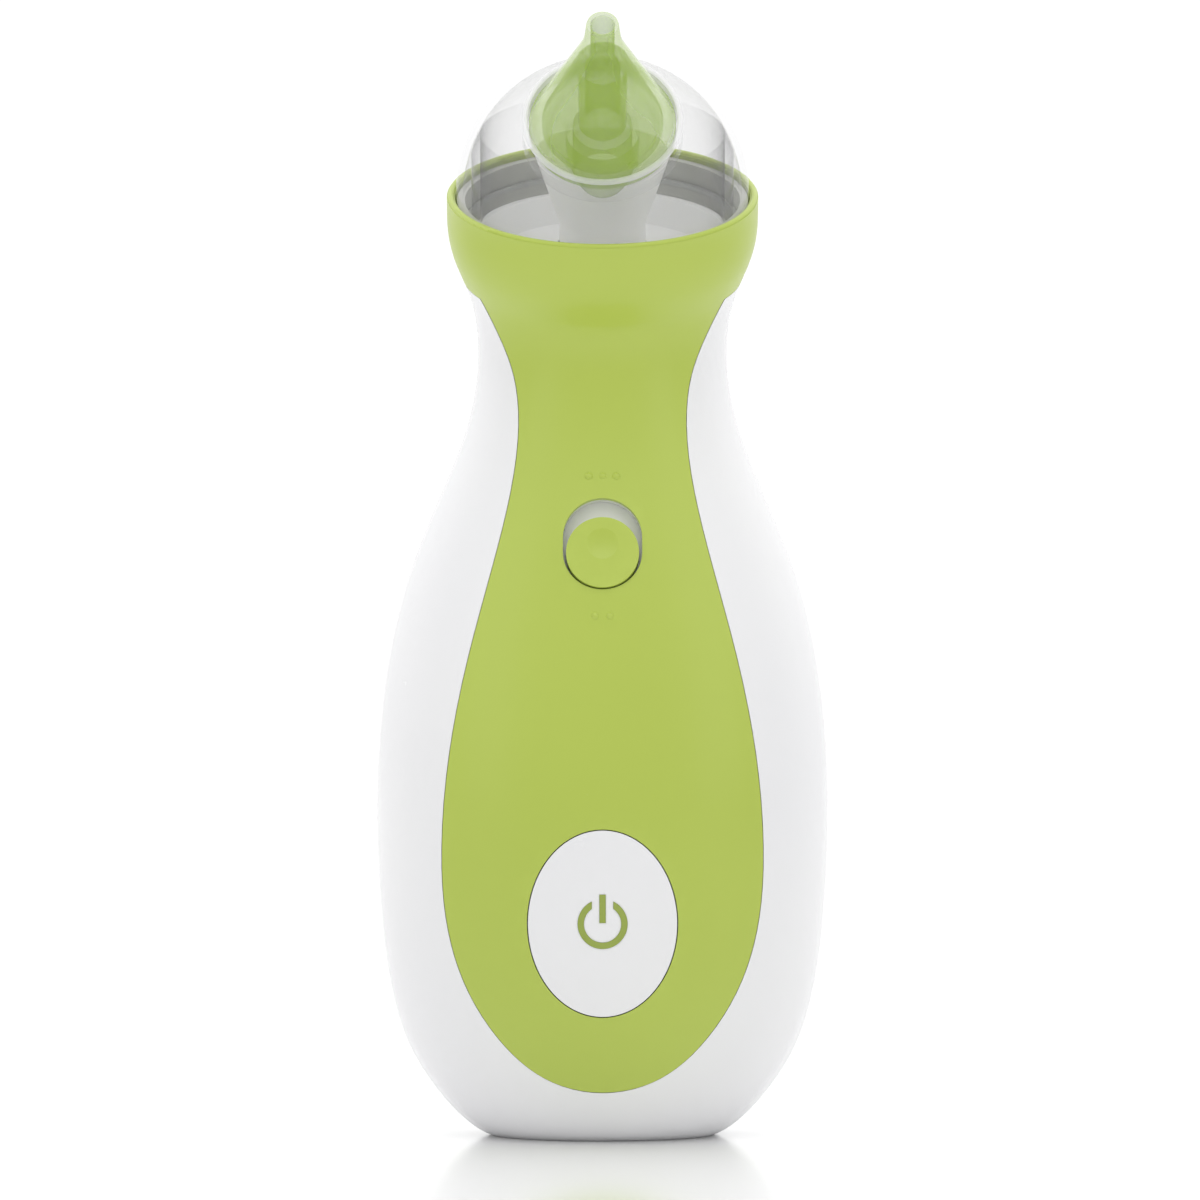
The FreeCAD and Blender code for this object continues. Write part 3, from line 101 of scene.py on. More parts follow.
class Graph:
    """A thin layer over a node tree, for short material code."""

    def __init__(self, tree: bpy.types.NodeTree) -> None:
        """Keeps the tree.

        Args:
            tree: The node tree of a material or a group.
        """
        self.tree = tree

    def add(self, kind: str, inputs: dict | None = None, **options: object) -> bpy.types.Node:
        """Adds a node, sets its options, and fills or links its inputs.

        Args:
            kind: The node's type name.
            inputs: Input names or numbers, each with a value or with the output socket to link.
            **options: The node's own settings.

        Returns:
            The new node.
        """
        node = self.tree.nodes.new(kind)
        for key, value in options.items():
            setattr(node, key, value)
        for key, value in (inputs or {}).items():
            if isinstance(value, bpy.types.NodeSocket):
                self.tree.links.new(value, node.inputs[key])
            else:
                node.inputs[key].default_value = value
        return node

    def math(self, operation: str, a: object, b: object = 0.0, clamp: bool = False) -> bpy.types.NodeSocket:
        """A Math node's output.

        Args:
            operation: The operation's name.
            a: First value or socket.
            b: Second value or socket.
            clamp: Whether the result is kept between 0 and 1.

        Returns:
            The output socket.
        """
        return self.add("ShaderNodeMath", {0: a, 1: b}, operation=operation, use_clamp=clamp).outputs[0]

    def ramp(self, value: object, low: float, high: float, to_low: float = 0.0,
             to_high: float = 1.0) -> bpy.types.NodeSocket:
        """A value carried from one range to another, and kept in it.

        Args:
            value: The value or socket.
            low: Lower end of the range it comes from.
            high: Upper end of the range it comes from.
            to_low: Result at the lower end.
            to_high: Result at the upper end.

        Returns:
            The output socket.
        """
        node = self.add("ShaderNodeMapRange", {0: value, 1: low, 2: high, 3: to_low, 4: to_high})
        return node.outputs[0]

    def mix(self, amount: object, a: object, b: object) -> bpy.types.NodeSocket:
        """Two colours mixed.

        Args:
            amount: Share of the second colour.
            a: First colour.
            b: Second colour.

        Returns:
            The output socket.
        """
        one, two = ((*value, 1.0) if isinstance(value, tuple) else value for value in (a, b))
        return self.add("ShaderNodeMix", {0: amount, 6: one, 7: two}, data_type="RGBA").outputs[2]

    def place(self) -> bpy.types.NodeSocket:
        """The piece's own coordinates, in metres."""
        return self.add("ShaderNodeTexCoord").outputs["Object"]

    def noise(self, vector: bpy.types.NodeSocket, scale: object, detail: float = 2.0,
              roughness: float = 0.5) -> bpy.types.NodeSocket:
        """A noise value.

        Args:
            vector: Where it is read.
            scale: Cells per metre.
            detail: Number of octaves.
            roughness: Share of the small octaves.

        Returns:
            The output socket.
        """
        node = self.add("ShaderNodeTexNoise", {"Vector": vector, "Scale": scale, "Detail": detail,
                                               "Roughness": roughness})
        return node.outputs[0]

    def group(self, tree: bpy.types.NodeTree, **inputs: object) -> bpy.types.Node:
        """Places a node group.

        Args:
            tree: The group.
            **inputs: Its inputs, with underscores for blanks.

        Returns:
            The group node.
        """
        named = {key.replace("_", " "): value for key, value in inputs.items()}
        return self.add("ShaderNodeGroup", named, node_tree=tree)


class Effects:
    """The effects that several finishes share, each as a node group."""

    def __init__(self) -> None:
        """Builds every group once."""
        self.moulding = self._moulding()
        self.handling = self._handling()
        self.wear = self._wear()
        self.brushing = self._brushing()

    @staticmethod
    def _new(name: str, inputs: Sequence[tuple[str, float]], outputs: Sequence[str]) -> tuple:
        """An empty group with its sockets.

        Args:
            name: The group's name.
            inputs: Name and default of each input.
            outputs: Name of each output.

        Returns:
            The graph, the input node and the output node.
        """
        tree = bpy.data.node_groups.new(name, "ShaderNodeTree")
        for label, value in inputs:
            socket = tree.interface.new_socket(label, in_out="INPUT", socket_type="NodeSocketFloat")
            socket.default_value = value
        for label in outputs:
            tree.interface.new_socket(label, in_out="OUTPUT", socket_type="NodeSocketFloat")
        graph = Graph(tree)
        return graph, graph.add("NodeGroupInput"), graph.add("NodeGroupOutput")

    def _moulding(self) -> bpy.types.NodeTree:
        """Fine orange peel and slow flow waves of an injection-moulded surface.

        Returns:
            The group.
        """
        graph, given, out = self._new("moulded_surface", [("Peel Scale", 900.0), ("Flow Scale", 22.0)],
                                      ["Height", "Flow"])
        place = graph.place()
        peel = graph.noise(place, given.outputs["Peel Scale"], 3.0, 0.55)
        flow = graph.noise(place, given.outputs["Flow Scale"], 1.5, 0.4)
        height = graph.math("ADD", graph.math("MULTIPLY", peel, 0.35), graph.math("MULTIPLY", flow, 0.65))
        graph.tree.links.new(height, out.inputs["Height"])
        graph.tree.links.new(flow, out.inputs["Flow"])
        return graph.tree

    def _handling(self) -> bpy.types.NodeTree:
        """Faint smudges and specks that a hand leaves on a glossy piece.

        Returns:
            The group.
        """
        graph, given, out = self._new("handling_marks", [("Smudge", 0.5), ("Specks", 0.2)], ["Rough", "Dust"])
        place = graph.place()
        smudge = graph.ramp(graph.noise(place, 38.0, 4.0, 0.62), 0.52, 0.72)
        fine = graph.noise(place, 260.0, 3.0, 0.6)
        patch = graph.math("MULTIPLY", smudge, graph.ramp(fine, 0.35, 0.7))
        specks = graph.add("ShaderNodeTexVoronoi", {"Vector": place, "Scale": 420.0, "Randomness": 1.0})
        dot = graph.ramp(specks.outputs["Distance"], 0.06, 0.03)
        some = graph.ramp(graph.noise(place, 70.0, 2.0), 0.55, 0.62)
        graph.tree.links.new(graph.math("MULTIPLY", patch, given.outputs["Smudge"]), out.inputs["Rough"])
        dust = graph.math("MULTIPLY", graph.math("MULTIPLY", dot, some), given.outputs["Specks"])
        graph.tree.links.new(dust, out.inputs["Dust"])
        return graph.tree

    def _wear(self) -> bpy.types.NodeTree:
        """A mask of edges that are rubbed a little lighter.

        Returns:
            The group.
        """
        graph, given, out = self._new("edge_wear", [("Amount", 0.4), ("Scale", 240.0)], ["Mask"])
        edge = graph.ramp(graph.add("ShaderNodeNewGeometry").outputs["Pointiness"], 0.52, 0.62)
        broken = graph.ramp(graph.noise(graph.place(), given.outputs["Scale"], 4.0, 0.6), 0.35, 0.65)
        rubbed = graph.math("MULTIPLY", edge, broken)
        mask = graph.math("MULTIPLY", rubbed, given.outputs["Amount"], clamp=True)
        graph.tree.links.new(mask, out.inputs["Mask"])
        return graph.tree

    def _brushing(self) -> bpy.types.NodeTree:
        """Fine lines along one direction, as on drawn or turned metal.

        Returns:
            The group.
        """
        graph, given, out = self._new("brushed_lines", [("Along", 60.0), ("Across", 2600.0)], ["Lines"])
        parts = graph.add("ShaderNodeSeparateXYZ", {0: graph.place()})
        scaled = graph.add("ShaderNodeCombineXYZ", {
            0: graph.math("MULTIPLY", parts.outputs[0], given.outputs["Along"]),
            1: graph.math("MULTIPLY", parts.outputs[1], given.outputs["Along"]),
            2: graph.math("MULTIPLY", parts.outputs[2], given.outputs["Across"])})
        lines = graph.noise(scaled.outputs[0], 1.0, 4.0, 0.6)
        graph.tree.links.new(lines, out.inputs["Lines"])
        return graph.tree


# ---------------------------------------------------------------- finishes


class Finish:
    """A finish that can make its material."""

    name: str

    def fill(self, graph: Graph, shader: bpy.types.Node, effects: Effects) -> None:
        """Links the finish's nodes to the shader.

        Args:
            graph: The material's graph.
            shader: The Principled BSDF.
            effects: The shared groups.
        """
        raise NotImplementedError

    def material(self, effects: Effects) -> bpy.types.Material:
        """Makes the material.

        Args:
            effects: The shared groups.

        Returns:
            The material, with its nodes in place.
        """
        made = bpy.data.materials.new(self.name)
        made.use_nodes = True
        graph = Graph(made.node_tree)
        shader = made.node_tree.nodes["Principled BSDF"]
        self.fill(graph, shader, effects)
        return made


@dataclass(frozen=True)
class Moulded(Finish):
    """Injection-moulded plastic, glossy to matt."""

    name: str
    colour: Colour
    shade: Colour
    roughness: float = 0.22
    coat: float = 0.25
    peel: float = 0.02
    wear: float = 0.25
    smudge: float = 0.10
    subsurface: float = 0.0
    dust: float = 0.05

    def fill(self, graph: Graph, shader: bpy.types.Node, effects: Effects) -> None:
        """Colour with a slow flow variation, soft peel, faint handling marks and rubbed edges.

        Args:
            graph: The material's graph.
            shader: The Principled BSDF.
            effects: The shared groups.
        """
        link = graph.tree.links.new
        mould = graph.group(effects.moulding, Peel_Scale=900.0, Flow_Scale=24.0)
        hand = graph.group(effects.handling, Smudge=self.smudge, Specks=self.dust)
        worn = graph.group(effects.wear, Amount=self.wear, Scale=240.0)
        flow = graph.ramp(mould.outputs["Flow"], 0.3, 0.7)
        base = graph.mix(flow, self.shade, self.colour)
        light = tuple(min(1.0, c * 1.18 + 0.04) for c in self.colour)
        edged = graph.mix(worn.outputs["Mask"], base, light)
        dusty = graph.mix(hand.outputs["Dust"], edged, (0.82, 0.81, 0.78))
        link(dusty, shader.inputs["Base Color"])
        rough = graph.math("ADD", hand.outputs["Rough"], self.roughness)
        rough = graph.math("ADD", rough, graph.math("MULTIPLY", worn.outputs["Mask"], 0.12), clamp=True)
        link(rough, shader.inputs["Roughness"])
        bump = graph.add("ShaderNodeBump", {"Height": mould.outputs["Height"], "Strength": self.peel,
                                            "Distance": 0.0004})
        link(bump.outputs[0], shader.inputs["Normal"])
        shader.inputs["Coat Weight"].default_value = self.coat
        shader.inputs["Coat Roughness"].default_value = 0.08
        shader.inputs["IOR"].default_value = 1.5
        if self.subsurface:
            shader.inputs["Subsurface Weight"].default_value = self.subsurface
            shader.inputs["Subsurface Scale"].default_value = 0.004
            shader.inputs["Subsurface Radius"].default_value = (1.0, 0.9, 0.8)


@dataclass(frozen=True)
class Clear(Finish):
    """See-through plastic, clear or tinted: its thin walls let light through and veil at their edges."""

    name: str
    colour: Colour
    shade: Colour
    middle: float = 0.12
    edge: float = 0.55
    power: float = 2.0
    roughness: float = 0.05
    haze: float = 0.1
    coat: float = 0.6
    specular: float = 0.5

    def fill(self, graph: Graph, shader: bpy.types.Node, effects: Effects) -> None:
        """The wall's cover grows towards its edges, and flow lines and handling haze vary it a little.

        Args:
            graph: The material's graph.
            shader: The Principled BSDF.
            effects: The shared groups.
        """
        link = graph.tree.links.new
        mould = graph.group(effects.moulding, Peel_Scale=500.0, Flow_Scale=60.0)
        hand = graph.group(effects.handling, Smudge=self.haze, Specks=0.1)
        flow = graph.ramp(mould.outputs["Flow"], 0.3, 0.7)
        link(graph.mix(flow, self.shade, self.colour), shader.inputs["Base Color"])
        link(graph.math("ADD", hand.outputs["Rough"], self.roughness, clamp=True), shader.inputs["Roughness"])
        facing = graph.add("ShaderNodeLayerWeight", {"Blend": 0.5}).outputs["Facing"]
        grown = graph.math("MULTIPLY", graph.math("POWER", facing, self.power), self.edge - self.middle)
        cover = graph.math("ADD", grown, graph.math("MULTIPLY", flow, self.middle * 0.15))
        cover = graph.math("ADD", cover, self.middle * 0.93, clamp=True)
        inner = graph.add("ShaderNodeNewGeometry").outputs["Backfacing"]
        link(graph.math("MULTIPLY", cover, graph.math("SUBTRACT", 1.0, inner)), shader.inputs["Alpha"])
        bump = graph.add("ShaderNodeBump", {"Height": mould.outputs["Flow"], "Strength": 0.03,
                                            "Distance": 0.0003})
        link(bump.outputs[0], shader.inputs["Normal"])
        shader.inputs["IOR"].default_value = 1.5
        shader.inputs["Specular IOR Level"].default_value = self.specular
        shader.inputs["Coat Weight"].default_value = self.coat
        shader.inputs["Coat Roughness"].default_value = 0.03


@dataclass(frozen=True)
class Metal(Finish):
    """Drawn, turned or plated metal."""

    name: str
    colour: Colour
    roughness: float = 0.3
    lines: float = 0.12
    tarnish: float = 0.2

    def fill(self, graph: Graph, shader: bpy.types.Node, effects: Effects) -> None:
        """Brushed lines in roughness and bump, with patches of tarnish and brighter edges.

        Args:
            graph: The material's graph.
            shader: The Principled BSDF.
            effects: The shared groups.
        """
        link = graph.tree.links.new
        brushed = graph.group(effects.brushing, Along=60.0, Across=2600.0)
        worn = graph.group(effects.wear, Amount=0.6, Scale=300.0)
        patch = graph.ramp(graph.noise(graph.place(), 90.0, 4.0, 0.6), 0.45, 0.75)
        dull = tuple(c * 0.72 for c in self.colour)
        base = graph.mix(graph.math("MULTIPLY", patch, self.tarnish), self.colour, dull)
        link(graph.mix(worn.outputs["Mask"], base, tuple(min(1.0, c * 1.2) for c in self.colour)),
             shader.inputs["Base Color"])
        centred = graph.math("SUBTRACT", brushed.outputs["Lines"], 0.5)
        rough = graph.math("MULTIPLY", centred, self.lines * 2.0)
        link(graph.math("ADD", rough, self.roughness, clamp=True), shader.inputs["Roughness"])
        bump = graph.add("ShaderNodeBump", {"Height": brushed.outputs["Lines"], "Strength": self.lines,
                                            "Distance": 0.0001})
        link(bump.outputs[0], shader.inputs["Normal"])
        shader.inputs["Metallic"].default_value = 1.0


@dataclass(frozen=True)
class Soft(Finish):
    """Rubber, silicone or felt."""

    name: str
    colour: Colour
    roughness: float = 0.6
    grain: float = 0.2
    scale: float = 1200.0
    sheen: float = 0.1

    def fill(self, graph: Graph, shader: bpy.types.Node, effects: Effects) -> None:
        """A matt surface with a fine grain and pale dust in it.

        Args:
            graph: The material's graph.
            shader: The Principled BSDF.
            effects: The shared groups.
        """
        link = graph.tree.links.new
        grain = graph.noise(graph.place(), self.scale, 5.0, 0.65)
        hand = graph.group(effects.handling, Smudge=0.1, Specks=0.4)
        dark = tuple(c * 0.75 for c in self.colour)
        base = graph.mix(graph.ramp(grain, 0.3, 0.7), dark, self.colour)
        link(graph.mix(hand.outputs["Dust"], base, (0.6, 0.6, 0.58)), shader.inputs["Base Color"])
        link(graph.math("ADD", graph.math("MULTIPLY", grain, 0.15), self.roughness - 0.07, clamp=True),
             shader.inputs["Roughness"])
        bump = graph.add("ShaderNodeBump", {"Height": grain, "Strength": self.grain, "Distance": 0.0002})
        link(bump.outputs[0], shader.inputs["Normal"])
        shader.inputs["Sheen Weight"].default_value = self.sheen


@dataclass(frozen=True)
class Laminate(Finish):
    """A circuit board: solder mask over copper tracks."""

    name: str
    colour: Colour = (0.02, 0.16, 0.06)

    def fill(self, graph: Graph, shader: bpy.types.Node, effects: Effects) -> None:
        """Tracks on a square pattern under a glossy mask, with a fine weave.

        Args:
            graph: The material's graph.
            shader: The Principled BSDF.
            effects: The shared groups.
        """
        link = graph.tree.links.new
        place = graph.place()
        tracks = graph.add("ShaderNodeTexVoronoi", {"Vector": place, "Scale": 320.0, "Randomness": 0.35},
                           distance="MANHATTAN", feature="DISTANCE_TO_EDGE")
        line = graph.ramp(tracks.outputs["Distance"], 0.10, 0.07)
        weave = graph.noise(place, 2400.0, 2.0)
        base = graph.mix(line, self.colour, tuple(c * 2.1 + 0.01 for c in self.colour))
        woven = graph.mix(graph.math("MULTIPLY", weave, 0.2), base, (0.1, 0.3, 0.12))
        link(woven, shader.inputs["Base Color"])
        bump = graph.add("ShaderNodeBump", {"Height": line, "Strength": 0.3, "Distance": 0.00005})
        link(bump.outputs[0], shader.inputs["Normal"])
        shader.inputs["Roughness"].default_value = 0.32
        shader.inputs["Coat Weight"].default_value = 0.4


@dataclass(frozen=True)
class CellWrap(Finish):
    """A printed cell wrap: a dark body with a bright band at one end, with no lettering."""

    name: str
    body: Colour
    band: Colour
    low: float
    high: float

    def fill(self, graph: Graph, shader: bpy.types.Node, effects: Effects) -> None:
        """The band is set by height, with a thin pale line beside it.

        Args:
            graph: The material's graph.
            shader: The Principled BSDF.
            effects: The shared groups.
        """
        link = graph.tree.links.new
        parts = graph.add("ShaderNodeSeparateXYZ", {0: graph.place()})
        height = parts.outputs[2]
        above = graph.math("GREATER_THAN", height, self.low * MM)
        below = graph.math("LESS_THAN", height, self.high * MM)
        inside = graph.math("MULTIPLY", above, below)
        line = graph.math("LESS_THAN", graph.math("ABSOLUTE", graph.math("SUBTRACT", height, self.low * MM)),
                          0.35 * MM)
        flakes = graph.noise(graph.place(), 1500.0, 2.0)
        base = graph.mix(inside, self.body, self.band)
        base = graph.mix(line, base, (0.8, 0.8, 0.78))
        flaked = graph.mix(graph.math("MULTIPLY", flakes, 0.15), base, (0.5, 0.5, 0.5))
        link(flaked, shader.inputs["Base Color"])
        hand = graph.group(effects.handling, Smudge=0.15, Specks=0.2)
        link(graph.math("ADD", hand.outputs["Rough"], 0.28, clamp=True), shader.inputs["Roughness"])
        shader.inputs["Metallic"].default_value = 0.35
        shader.inputs["Coat Weight"].default_value = 0.5


def linear(red: int, green: int, blue: int) -> Colour:
    """A screen colour as scene-linear light.

    Args:
        red: Red, 0 to 255.
        green: Green, 0 to 255.
        blue: Blue, 0 to 255.

    Returns:
        The three linear values.
    """
    shares = (channel / 255.0 for channel in (red, green, blue))
    return tuple(share / 12.92 if share <= 0.04045 else ((share + 0.055) / 1.055) ** 2.4 for share in shares)


class Look(Enum):
    """Every finish of the aspirator."""

    WHITE = Moulded("white_gloss", linear(239, 239, 240), linear(236, 236, 238), roughness=0.26, coat=0.12,
                    peel=0.012, wear=0.02, smudge=0.02)
    GREEN = Moulded("leaf_green_gloss", linear(181, 199, 84), linear(177, 195, 80), roughness=0.36, coat=0.08,
                    peel=0.015, wear=0.15, smudge=0.06)
    MARK = Moulded("mark_green", linear(152, 168, 76), linear(148, 164, 72), roughness=0.4, coat=0.0,
                   peel=0.01, wear=0.1, smudge=0.05)
    INSERT = Moulded("grey_white_insert", linear(226, 226, 230), linear(221, 221, 226), roughness=0.4, coat=0.05,
                     peel=0.02, wear=0.1, smudge=0.08)
    SMOKE = Moulded("smoke_grey", linear(186, 187, 180), linear(180, 181, 174), roughness=0.42, coat=0.1,
                    peel=0.03, wear=0.1, smudge=0.1)
    CLEAR = Clear("clear_dome", linear(204, 204, 206), linear(198, 198, 200), middle=0.13, edge=0.66, power=4.0,
                  coat=0.25, specular=0.3)
    # Painted highlight: the lip ring is clear, and this pale half-clear white stands for the highlight along it.
    LIP = Clear("lip_painted_highlight", linear(236, 236, 238), linear(232, 232, 234), middle=0.5, edge=0.95, power=2.0,
                roughness=0.2, coat=0.4)
    SLEEVE = Clear("clear_sleeve", linear(92, 92, 94), linear(84, 84, 86), middle=0.03, edge=1.0, power=3.0,
                   coat=0.0, specular=0.1)
    FROST = Moulded("frosted_funnel", linear(249, 249, 247), linear(245, 245, 243), roughness=0.45, coat=0.05,
                    peel=0.02, wear=0.1, smudge=0.05, subsurface=0.2)
    CONE = Clear("green_cone", linear(166, 194, 80), linear(160, 188, 74), middle=0.46, edge=0.92, power=1.8,
                 roughness=0.1, haze=0.02, coat=0.15, specular=0.15)
    SILICONE = Soft("grey_silicone", linear(190, 192, 188), roughness=0.5, grain=0.1, scale=900.0, sheen=0.1)
    RUBBER = Soft("black_rubber", (0.02, 0.02, 0.02), roughness=0.65, grain=0.25, scale=1500.0, sheen=0.2)
    HOSE = Soft("milky_hose", linear(215, 214, 205), roughness=0.4, grain=0.05, scale=700.0, sheen=0.05)
    FELT = Soft("grey_felt", linear(170, 166, 156), roughness=0.95, grain=1.0, scale=2600.0, sheen=0.6)
    CHASSIS = Moulded("dark_chassis", linear(78, 80, 84), linear(70, 72, 76), roughness=0.5, coat=0.0,
                      peel=0.08, wear=0.25, smudge=0.1)
    PUMP = Moulded("pump_black", linear(46, 46, 49), linear(40, 40, 43), roughness=0.45, coat=0.05,
                   peel=0.06, wear=0.25, smudge=0.1)
    CHIP = Moulded("component_black", (0.012, 0.012, 0.013), (0.02, 0.02, 0.02), roughness=0.5, coat=0.0,
                   peel=0.15, wear=0.3, smudge=0.1)
    BOARD = Laminate("solder_mask")
    STEEL = Metal("drawn_steel", (0.56, 0.56, 0.57), roughness=0.32, lines=0.2, tarnish=0.25)
    BRIGHT = Metal("plated_steel", (0.72, 0.72, 0.73), roughness=0.16, lines=0.06, tarnish=0.1)
    COPPER = Metal("lacquered_copper", (0.72, 0.30, 0.12), roughness=0.35, lines=0.3, tarnish=0.3)
    FERRITE = Moulded("ferrite", (0.035, 0.035, 0.038), (0.05, 0.05, 0.052), roughness=0.6, coat=0.0,
                      peel=0.2, wear=0.5, smudge=0.1)
    WIRE = Moulded("red_wire", linear(170, 34, 28), linear(160, 30, 25), roughness=0.38, coat=0.1,
                   peel=0.02, wear=0.1, smudge=0.1)
    WRAP_UP = CellWrap("cell_wrap_up", linear(44, 52, 58), linear(190, 150, 84), low=64.0, high=78.2)
    WRAP_DOWN = CellWrap("cell_wrap_down", linear(44, 52, 58), linear(190, 150, 84), low=26.4, high=40.6)


# ---------------------------------------------------------------- modelling


ON_AXIS = 1e-6
WELD = 0.004
ROUND = 144


class Bench:
    """Short forms of the modelling operators."""

    @staticmethod
    def clear_selection() -> None:
        """Deselects every object."""
        if bpy.context.object and bpy.context.object.mode != "OBJECT":
            bpy.ops.object.mode_set(mode="OBJECT")
        bpy.ops.object.select_all(action="DESELECT")

    @staticmethod
    def current(name: str) -> bpy.types.Object:
        """Names the object that the last operator made.

        Args:
            name: The name for the object and its mesh.

        Returns:
            The object.
        """
        made = bpy.context.object
        made.name = name
        made.data.name = name
        return made

    @staticmethod
    def only(item: bpy.types.Object) -> None:
        """Makes an object the only selected and the active one.

        Args:
            item: The object.
        """
        Bench.clear_selection()
        item.select_set(True)
        bpy.context.view_layer.objects.active = item

    @staticmethod
    def settle(item: bpy.types.Object, frame: Matrix | None = None) -> bpy.types.Object:
        """Moves the place of an object into its mesh.

        Args:
            item: The object.
            frame: Where it goes, from the origin.

        Returns:
            The same object, at the origin.
        """
        Bench.only(item)
        if frame is not None:
            item.matrix_world = frame @ item.matrix_world
        bpy.ops.object.transform_apply(location=True, rotation=True, scale=True)
        return item

    @staticmethod
    def modify(item: bpy.types.Object, kind: str, **options: object) -> None:
        """Adds a modifier and applies it.

        Args:
            item: The object.
            kind: The modifier's type.
            **options: Its settings.
        """
        Bench.only(item)
        modifier = item.modifiers.new(kind.lower(), kind)
        for key, value in options.items():
            setattr(modifier, key, value)
        bpy.ops.object.modifier_apply(modifier=modifier.name)

    @staticmethod
    def smooth(item: bpy.types.Object, angle: float = 35.0) -> None:
        """Shades an object smooth, apart from its sharp edges.

        Args:
            item: The object.
            angle: Smallest turn that stays sharp, in degrees.
        """
        Bench.only(item)
        bpy.ops.object.shade_smooth_by_angle(angle=math.radians(angle))
        Bench.modify(item, "WEIGHTED_NORMAL", keep_sharp=True, weight=80, mode="FACE_AREA")

    @staticmethod
    def combine(item: bpy.types.Object, tool: bpy.types.Object, operation: str) -> bpy.types.Object:
        """Joins or cuts two closed meshes, and removes the tool.

        Args:
            item: The mesh that stays.
            tool: The mesh that is used up.
            operation: DIFFERENCE, UNION or INTERSECT.

        Returns:
            The item.
        """
        Bench.modify(item, "BOOLEAN", operation=operation, object=tool, solver="EXACT")
        bpy.data.objects.remove(tool)
        return item

    @staticmethod
    def join(item: bpy.types.Object, other: bpy.types.Object) -> None:
        """Puts another piece into the item's mesh.

        Args:
            item: The piece that stays.
            other: The piece that goes into it.
        """
        Bench.only(item)
        other.select_set(True)
        bpy.ops.object.join()

    @staticmethod
    def trim(item: bpy.types.Object, frame: Matrix, level: float) -> None:
        """Cuts a shell off below a level of a frame, and closes the cut between its two walls.

        Args:
            item: The shell.
            frame: The frame.
            level: Height of the cut in it.
        """
        Bench.only(item)
        bpy.ops.object.mode_set(mode="EDIT")
        bpy.ops.mesh.select_all(action="SELECT")
        point = frame @ Vector((0.0, 0.0, level * MM))
        normal = frame.to_3x3() @ Vector((0.0, 0.0, 1.0))
        bpy.ops.mesh.bisect(plane_co=point, plane_no=normal, clear_inner=True, clear_outer=False,
                            use_fill=False)
        bpy.ops.mesh.select_mode(type="EDGE")
        bpy.ops.mesh.select_all(action="DESELECT")
        bpy.ops.mesh.select_non_manifold(extend=False, use_wire=False, use_boundary=True,
                                         use_multi_face=False, use_non_contiguous=False, use_verts=False)
        bpy.ops.mesh.bridge_edge_loops()
        bpy.ops.mesh.select_all(action="SELECT")
        bpy.ops.mesh.normals_make_consistent(inside=False)
        bpy.ops.object.mode_set(mode="OBJECT")

    @staticmethod
    def turned(name: str, profile: Sequence[Point], steps: int, frame: Matrix) -> bpy.types.Object:
        """A closed profile of (radius, height) points spun about the Z axis.

        Args:
            name: The piece's name.
            profile: The outline, in order, without the first point again.
            steps: Faces round the axis.
            frame: Where the piece goes.

        Returns:
            The piece.
        """
        Bench.clear_selection()
        bpy.ops.mesh.primitive_plane_add(size=MM)
        item = Bench.current(name)
        first = profile[0]
        bpy.ops.object.mode_set(mode="EDIT")
        bpy.ops.mesh.select_all(action="SELECT")
        bpy.ops.mesh.merge(type="CENTER")
        bpy.ops.transform.translate(value=(first[0] * MM, 0.0, first[1] * MM))
        previous = first
        for point in profile[1:]:
            step = ((point[0] - previous[0]) * MM, 0.0, (point[1] - previous[1]) * MM)
            bpy.ops.mesh.extrude_vertices_move(TRANSFORM_OT_translate={"value": step})
            previous = point
        if max(first[0], previous[0]) > ON_AXIS:
            Bench._close_loop(item)
        bpy.ops.mesh.select_all(action="SELECT")
        bpy.ops.mesh.spin(steps=steps, angle=2.0 * math.pi, center=(0.0, 0.0, 0.0), axis=(0.0, 0.0, 1.0),
                          use_auto_merge=True)
        bpy.ops.mesh.select_all(action="SELECT")
        bpy.ops.mesh.remove_doubles(threshold=WELD * MM)
        bpy.ops.mesh.normals_make_consistent(inside=False)
        bpy.ops.object.mode_set(mode="OBJECT")
        return Bench.settle(item, frame)

    @staticmethod
    def _close_loop(item: bpy.types.Object) -> None:
        """Joins the last point of an open profile to its first; the object is in edit mode.

        Args:
            item: The object.
        """
        bpy.ops.mesh.select_mode(type="VERT")
        bpy.ops.mesh.select_all(action="DESELECT")
        mesh = bmesh.from_edit_mesh(item.data)
        ends = [v for v in mesh.verts if len(v.link_edges) == 1]
        for vertex in ends:
            vertex.select = True
        bmesh.update_edit_mesh(item.data)
        bpy.ops.mesh.edge_face_add()

    @staticmethod
    def rod(name: str, radius: float, low: float, high: float, frame: Matrix,
            steps: int = 96) -> bpy.types.Object:
        """A plain round tool for cuts, along the frame's Z axis.

        Args:
            name: The tool's name.
            radius: Its radius.
            low: Height of its foot in the frame.
            high: Height of its top in the frame.
            frame: The frame.
            steps: Faces round the axis.

        Returns:
            The tool.
        """
        Bench.clear_selection()
        bpy.ops.mesh.primitive_cylinder_add(vertices=steps, radius=radius * MM, depth=(high - low) * MM,
                                            location=(0.0, 0.0, (high + low) / 2.0 * MM))
        return Bench.settle(Bench.current(name), frame)


def arc(radius: float, start: float, end: float, count: int) -> list[Point]:
    """Points on a circle about the origin, by their angle above the horizontal.

    Args:
        radius: The circle's radius.
        start: First angle, in degrees.
        end: Last angle, in degrees.
        count: Number of points.

    Returns:
        The (radius, height) points.
    """
    turns = [math.radians(start + (end - start) * index / (count - 1)) for index in range(count)]
    return [(max(radius * math.cos(t), 0.0), radius * math.sin(t)) for t in turns]


def at_height(radius: float, height: float) -> float:
    """The angle, in degrees, at which a circle reaches a height."""
    return math.degrees(math.asin(height / radius))


# ---------------------------------------------------------------- sub-assemblies


